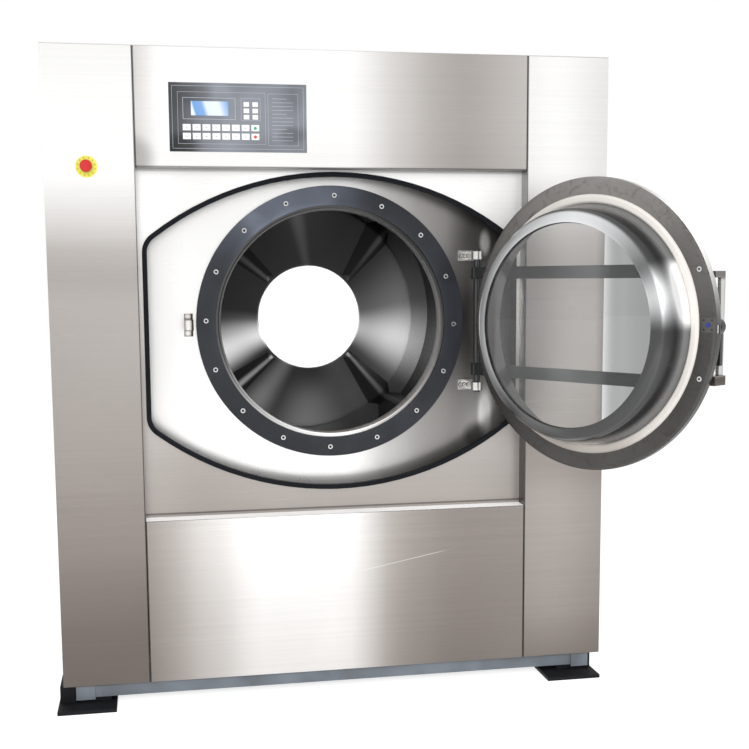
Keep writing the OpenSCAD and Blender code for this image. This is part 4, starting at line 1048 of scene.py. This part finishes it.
@dataclass
class Studio:
    """Camera, floor, lamps and surroundings."""

    camera_place: Point = (-0.54994, -4.16037, 1.24615)
    camera_turn: Point = (1.4515569, 0.0076713, -0.1797729)
    lens: float = 56.3117
    film_width: float = 36.0
    shift: tuple[float, float] = (0.0171986, 0.0573871)
    floor_size: float = 60.0
    floor_glow: float = 0.72
    world_light: float = 0.42

    def build(self) -> None:
        """Adds the camera, the floor, the lamps and the surroundings."""
        self.add_camera()
        self.add_floor()
        for name, place, aim, power, size in (
            ("Front lamp", (-0.9, -5.2, 1.9), (0.0, 0.0, 1.1), 158.0, 2.4),
            ("Right lamp", (4.2, -3.0, 2.6), (0.2, -0.4, 1.0), 55.0, 2.2),
            ("Top lamp", (0.0, -0.6, 4.6), (0.0, 0.0, 1.0), 35.0, 3.0),
        ):
            self.add_lamp(name, "AREA", place, aim, energy=power, size=size)
        self.add_lamp("Mouth lamp", "SPOT", (-0.05, -3.90, 1.13), (0.0, -0.62, AXIS_Z), energy=720.0,
                      spot_size=math.radians(12.0), spot_blend=0.06, shadow_soft_size=0.03)
        self.paint_surroundings()

    def add_camera(self) -> None:
        """Adds the camera at the photograph's place."""
        data = bpy.data.cameras.new("Camera")
        data.lens = self.lens
        data.sensor_width = self.film_width
        data.shift_x, data.shift_y = self.shift
        camera = bpy.data.objects.new("Camera", data)
        camera.location = self.camera_place
        camera.rotation_euler = self.camera_turn
        bpy.context.scene.collection.objects.link(camera)
        bpy.context.scene.camera = camera

    def add_floor(self) -> None:
        """Adds a pale floor that shows white to the camera and keeps the shadow."""
        deselect()
        bpy.ops.mesh.primitive_plane_add(size=self.floor_size, location=(0, 0, 0))
        floor = bpy.context.object
        floor.name = "floor"
        material, wires, shader, _ = new_material("Pale floor")
        wires.feed(shader, {"Base Color": four((0.74, 0.74, 0.74)), "Roughness": 0.9, "Specular IOR Level": 0.1,
                            "Emission Color": WHITE,
                            "Emission Strength": wires.times(shown_ray(wires), self.floor_glow)})
        floor.data.materials.append(material)

    def add_lamp(self, name: str, kind: str, place: Point, aim: Point, **settings: float) -> None:
        """Adds a lamp that metal doesn't mirror.

        Args:
            name: Name of the lamp.
            kind: Blender's kind of light.
            place: Where it stands.
            aim: Where it points.
            **settings: Power, size and other attributes of the light.
        """
        data = bpy.data.lights.new(name, kind)
        for key, value in settings.items():
            setattr(data, key, value)
        lamp = bpy.data.objects.new(name, data)
        lamp.location = place
        lamp.rotation_euler = (Vector(aim) - Vector(place)).to_track_quat("-Z", "Y").to_euler()
        lamp.visible_glossy = False
        bpy.context.scene.collection.objects.link(lamp)

    def paint_surroundings(self) -> None:
        """Paints the studio white to the eye, to metal and to glass, and softer as a source of light."""
        world = bpy.data.worlds.new("Studio")
        bpy.context.scene.world = world
        world.use_nodes = True
        wires = Wires(world.node_tree)
        strength = wires.math("MAXIMUM", shown_ray(wires), self.world_light)
        wires.feed(world.node_tree.nodes["Background"], {0: WHITE, 1: strength})


@dataclass
class Cabinet:
    """Sheet panels, trim, base and feet."""

    shop: Workshop
    sheet_round: float = 0.0012
    thin_round: float = 0.0005
    sheets: tuple[str, ...] = ("left_column", "right_column", "top_fascia", "lower_access_panel",
                               "recess_panel", "left_side_panel", "right_side_panel", "roof_panel",
                               "rear_panel", "drive_cover")
    thin_sheets: tuple[str, ...] = ("recess_panel", "rear_panel")

    def build(self) -> None:
        """Builds the panels, the trim and the base."""
        for node in self.sheets:
            self.shop.rounded(node, self.thin_round if node in self.thin_sheets else self.sheet_round)
        for node, width in (("cutout_trim", 0.0022), ("base_frame", 0.004), ("isolator_feet", 0.0025)):
            self.shop.rounded(node, width, 3)
        self.shop.socketed("cover_screws", 0.003, 0.0015, 1)


@dataclass
class Controls:
    """Keypad with keys and display, and the stop button. Places on the keypad are from its upper left."""

    shop: Workshop
    left: float = -0.477
    top: float = TOP_Z - 0.099
    film_face: float = FRONT_Y - 0.0008
    key_face: float = FRONT_Y - 0.0016
    print_lift: float = 0.00015
    frames: tuple[tuple[float, ...], ...] = (
        (0.0086, 0.0086, 0.3814, 0.1824, 0.0009), (0.0244, 0.0254, 0.272, 0.169, 0.0008),
        (0.0388, 0.041, 0.1868, 0.101, 0.0012), (0.2026, 0.041, 0.2577, 0.103, 0.0008),
        (0.279, 0.027, 0.3656, 0.172, 0.0008))
    rules: tuple[int, float, float, float] = (12, 0.2905, 0.041, 0.0106)
    rule_lengths: tuple[float, float] = (0.042, 0.060)
    rule_height: float = 0.0011
    key_rows: tuple[float, float] = (0.1240, 0.1483)
    key_columns: tuple[int, float, float] = (7, 0.0489, 0.0276)
    mark_size: tuple[float, float] = (0.006, 0.0014)
    dot_x: float = 0.2421
    dot_radius: float = 0.0045
    stop_place: tuple[float, float] = (-0.708, 1.558)
    plate_face: float = FRONT_Y - 0.00165
    ticks: int = 12
    tick_radius: float = 0.0245
    tick_size: tuple[float, float] = (0.0014, 0.004)

    def build(self) -> None:
        """Builds the keypad and the button."""
        for node, width in (("keypad_film", 0.0003), ("membrane_keys", 0.0005), ("display", 0.0002)):
            self.shop.rounded(node, width)
        self.print_lines()
        self.print_keys()
        for node in ("stop_plate", "stop_collar", "stop_stem"):
            self.shop.rounded(node, 0.0006)
        self.shop.rounded("stop_head", 0.0012, 3)
        self.mark_stop_plate()

    def on_pad(self, x: float, z: float, face: float) -> Point:
        """Place of a print over a face of the keypad."""
        return self.left + x, face - self.print_lift, self.top - z

    def line_frame(self, x0: float, z0: float, x1: float, z1: float, width: float) -> Piece:
        """A thin printed frame on the film, from its corners."""
        piece = stood_plate(self.on_pad((x0 + x1) / 2, (z0 + z1) / 2, self.film_face), x1 - x0, z1 - z0)
        begin_edit(piece, "FACE")
        bpy.ops.mesh.inset(thickness=width)
        bpy.ops.mesh.delete(type="FACE")
        end_edit()
        return piece

    def print_lines(self) -> None:
        """Prints the plain frames round the groups of keys and plain rules in the last one."""
        pieces = [self.line_frame(*one) for one in self.frames]
        rows, x, z, pitch = self.rules
        for row in range(rows):
            length = self.rule_lengths[row % 4 > 0]
            pieces.append(stood_plate(self.on_pad(x + length / 2, z + row * pitch, self.film_face), length,
                                      self.rule_height))
        self.shop.add_on(joined(pieces, "keypad-lines"), "cabinet", "film", "print")

    def print_keys(self) -> None:
        """Prints a short plain mark on each key, and a green and a red dot on the last two."""
        columns, first, pitch = self.key_columns
        pieces = [stood_plate(self.on_pad(first + column * pitch, z, self.key_face), *self.mark_size)
                  for column in range(columns) for z in self.key_rows]
        self.shop.add_on(joined(pieces, "key-marks"), "cabinet", "keys", "key_marks")
        for color, z in zip(("green", "red"), self.key_rows):
            deselect()
            bpy.ops.mesh.primitive_circle_add(
                vertices=32, radius=self.dot_radius, fill_type="NGON", rotation=STOOD_UP,
                location=self.on_pad(self.dot_x, z, self.key_face))
            piece = bpy.context.object
            piece.name = color + "-dot"
            settle(piece)
            self.shop.add_on(piece, "cabinet", "keys", color + "_mark")

    def mark_stop_plate(self) -> None:
        """Prints short plain ticks round the yellow plate."""
        x, z = self.stop_place
        pieces = []
        for number in range(self.ticks):
            tick = stood_plate((x, self.plate_face, z + self.tick_radius), *self.tick_size)
            begin_edit(tick)
            bpy.ops.transform.rotate(value=math.tau * (number + 0.5) / self.ticks, orient_axis="Y",
                                     center_override=(x, FRONT_Y, z))
            end_edit()
            pieces.append(tick)
        self.shop.add_on(joined(pieces, "stop-ticks"), "cabinet", "yellow_plate", "dark_socket")


@dataclass
class Mouth:
    """Front plate of the tub with its lip, ring, screws, keeper and hinges."""

    shop: Workshop
    hinge_socket_area: float = 0.000011
    washer_radius: float = 0.0068
    washer_thickness: float = 0.0006
    washer_columns: tuple[float, float] = (-0.034, -0.022)
    washer_rise: float = 0.199
    washer_y: float = -0.6287

    def build(self) -> None:
        """Builds all that is bolted to the tub's front."""
        self.shop.rounded("tub_front_plate", 0.0015, 3)
        self.shop.rounded("mouth_ring", 0.0012)
        self.shop.socketed("ring_screws", 0.0038, 0.0015, -1)
        self.shop.rounded("latch_keeper", 0.0012)
        # The hinge brackets' small sockets are painted near black: painted shade.
        self.shop.paint(self.shop.rounded("hinge_brackets", 0.0010), "dark_socket",
                        lambda face: face.area < self.hinge_socket_area and face.normal.y < -0.99)
        self.washers()

    def washers(self) -> None:
        """Adds dark washers round the screws of the hinge plates."""
        pieces = []
        for x in self.washer_columns:
            for rise in (-self.washer_rise, self.washer_rise):
                deselect()
                bpy.ops.mesh.primitive_cylinder_add(
                    vertices=32, radius=self.washer_radius, depth=self.washer_thickness, rotation=STOOD_UP,
                    location=(HINGE.x + x, self.washer_y, AXIS_Z + rise))
                settle(bpy.context.object)
                pieces.append(bpy.context.object)
        self.shop.add_on(joined(pieces, "hinge-washers"), "tub", "screw_steel", "dark_socket")


@dataclass
class Drum:
    """What shows inside the mouth."""

    shop: Workshop

    def build(self) -> None:
        """Builds the drum's wall, back, lifters and hub cover."""
        wall = traced("drum_shell", "drum-wall")
        soften(wall, 0.0)
        wall.data.materials.append(self.shop.finish("drum_wall"))
        self.shop.mount(wall, "drum_shell")
        self.shop.rounded("drum_back", 0.003, 3)
        self.shop.rounded("drum_lifters", 0.008, 4)
        self.shop.rounded("hub_cover", 0.002, 3)
        self.shop.dress("drum_spider", "drum_shaft", "drum_pulley", "motor_pulley")


@dataclass
class Door:
    """The open door with its latch. Depths are behind the front plane when it is shut."""

    shop: Workshop
    socket_reach: float = 0.0034
    socket_area: float = 0.00003
    rim_radius: float = 0.39
    cap_reach: float = 0.0068
    cap_area: float = 0.0002
    wall: float = 0.003
    base_radius: float = 0.331
    end_radius: float = 0.316
    view_radius: float = 0.278
    back_depth: float = 0.0775
    step_depth: float = 0.1075
    end_depth: float = 0.2075
    end_round: float = 0.030

    def build(self) -> None:
        """Builds the door's pieces."""
        self.bowl()
        rim = self.shop.rounded("door_rim", 0.0012)
        self.shop.paint(rim, "rim_edge", self.on_outer_side)
        for node, width in (("door_seal", 0.002), ("door_glass", 0.001), ("glass_gasket", 0.001),
                            ("door_arms", 0.0015)):
            self.shop.rounded(node, width)
        self.rim_screws()
        for node, width, steps in (("latch_handle", 0.0015, 2), ("latch_tongue", 0.0008, 2),
                                   ("grab_bar", 0.0065, 4)):
            self.shop.rounded(node, width, steps)
        self.latch_plate()

    def rim_screws(self) -> None:
        """Builds the rim's two screws with sockets painted near black as painted shade."""
        piece = self.shop.rounded("rim_screws", self.shop.screw_round)
        middles = []
        for upper in (True, False):
            corners = [corner.co for corner in piece.data.vertices if (corner.co.z > AXIS_Z) == upper]
            middles.append(sum(corners, Vector()) / len(corners))
        self.shop.paint(piece, "dark_socket", lambda face: face.area < self.socket_area and any(
            (face.center - middle).length < self.socket_reach for middle in middles))

    def on_outer_side(self, face: bpy.types.MeshPolygon) -> bool:
        """Whether a face is on the rim's round outer side."""
        back = Matrix.Rotation(-OPEN_ANGLE, 3, "Z")
        place = HINGE + back @ (face.center - HINGE) - Vector((0.0, 0.0, AXIS_Z))
        place.y = 0.0
        return place.length > self.rim_radius and (back @ face.normal).dot(place.normalized()) > 0.9

    def latch_plate(self) -> None:
        """Builds the square plate over the latch with its blue centre."""
        piece = self.shop.rounded("latch_plate", 0.0006)
        middle = sum((Vector(corner) for corner in piece.bound_box), Vector()) / 8
        self.shop.paint(piece, "blue_cap", lambda face: (
            (face.center - middle).length < self.cap_reach and face.area < self.cap_area))

    def bowl(self) -> None:
        """Turns the bowl drawn shut, rounds its end and swings it open."""
        turns = [math.radians(turn) for turn in range(0, 91, 15)]
        centre, deep = self.end_radius - self.end_round, self.end_depth - self.end_round
        inner = self.end_round - self.wall
        outside = [(centre + self.end_round * math.cos(a), deep + self.end_round * math.sin(a)) for a in turns]
        inside = [(centre + inner * math.cos(a), deep + inner * math.sin(a)) for a in reversed(turns)]
        thin = self.base_radius - self.wall
        piece = turned("door-bowl", [
            (thin, self.back_depth), (self.base_radius, self.back_depth), (self.base_radius, self.step_depth),
            *outside, (self.view_radius, self.end_depth), (self.view_radius, self.end_depth - self.wall),
            *inside, (thin, self.step_depth)])
        piece.data.materials.append(self.shop.finish("bowl_steel"))
        axis = Vector((0.0, 0.0, AXIS_Z))
        self.shop.paint(piece, "bowl_inside", lambda face: (
            face.normal.dot(face.center * Vector((1, 0, 1)) - axis) < -0.05))
        swing_open(piece)
        soften(piece, 0.0)
        self.shop.mount(piece, "door_bowl")


@dataclass
class Works:
    """Services, suspension, drive and tub behind the panels."""

    shop: Workshop
    coil_radius: float = 0.0475
    wire_radius: float = 0.0074
    turns: int = 8
    spring_places: tuple[tuple[float, float], ...] = ((-0.610, -0.430), (0.610, -0.430), (-0.610, 0.110),
                                                      (0.610, 0.110))

    def build(self) -> None:
        """Dresses the pieces that keep the frame's shapes and builds the two that stretch."""
        self.shop.dress("electrical_box", "water_valves", "drain_outlet", "damper_cylinders", "damper_rods",
                        "tub_shell", "tub_rear_plate", "bearing_housing", "drum_bearings", "tub_cradle",
                        "motor", "drive_belts", "drain_valve")
        self.springs()
        self.shop.stretch(traced("drain_bellows"), "drain_bellows")

    def springs(self) -> None:
        """Winds one coil spring and copies it to the four corners."""
        low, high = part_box("suspension_springs")
        deselect()
        bpy.ops.mesh.primitive_circle_add(vertices=12, radius=self.wire_radius, rotation=STOOD_UP,
                                          location=(self.coil_radius, 0, 0))
        coil = bpy.context.object
        settle(coil)
        screw = coil.modifiers.new("Coil", "SCREW")
        screw.iterations = self.turns
        screw.steps = screw.render_steps = 32
        screw.screw_offset = (high[2] - low[2] - 2 * self.wire_radius) / self.turns
        bpy.ops.object.modifier_apply(modifier=screw.name)
        begin_edit(coil)
        bpy.ops.mesh.fill_holes(sides=0)
        bpy.ops.mesh.normals_make_consistent(inside=False)
        end_edit()
        lift = low[2] + self.wire_radius
        copies = [placed_copy(coil, Matrix.Translation((x, y, lift))) for x, y in self.spring_places]
        bpy.data.objects.remove(coil)
        self.shop.stretch(joined(copies, "suspension-springs"), "suspension_springs")


def main() -> None:
    """Builds the studio and the machine in order."""
    logging.basicConfig(level=logging.INFO, format="%(message)s")
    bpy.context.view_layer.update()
    Studio().build()
    shop = Workshop()
    for part in (Cabinet(shop), Controls(shop), Mouth(shop), Drum(shop), Door(shop), Works(shop)):
        part.build()
    deselect()
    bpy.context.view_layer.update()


if __name__ == "__main__":
    main()
    scene = bpy.context.scene
    scene.view_settings.view_transform = "Standard"
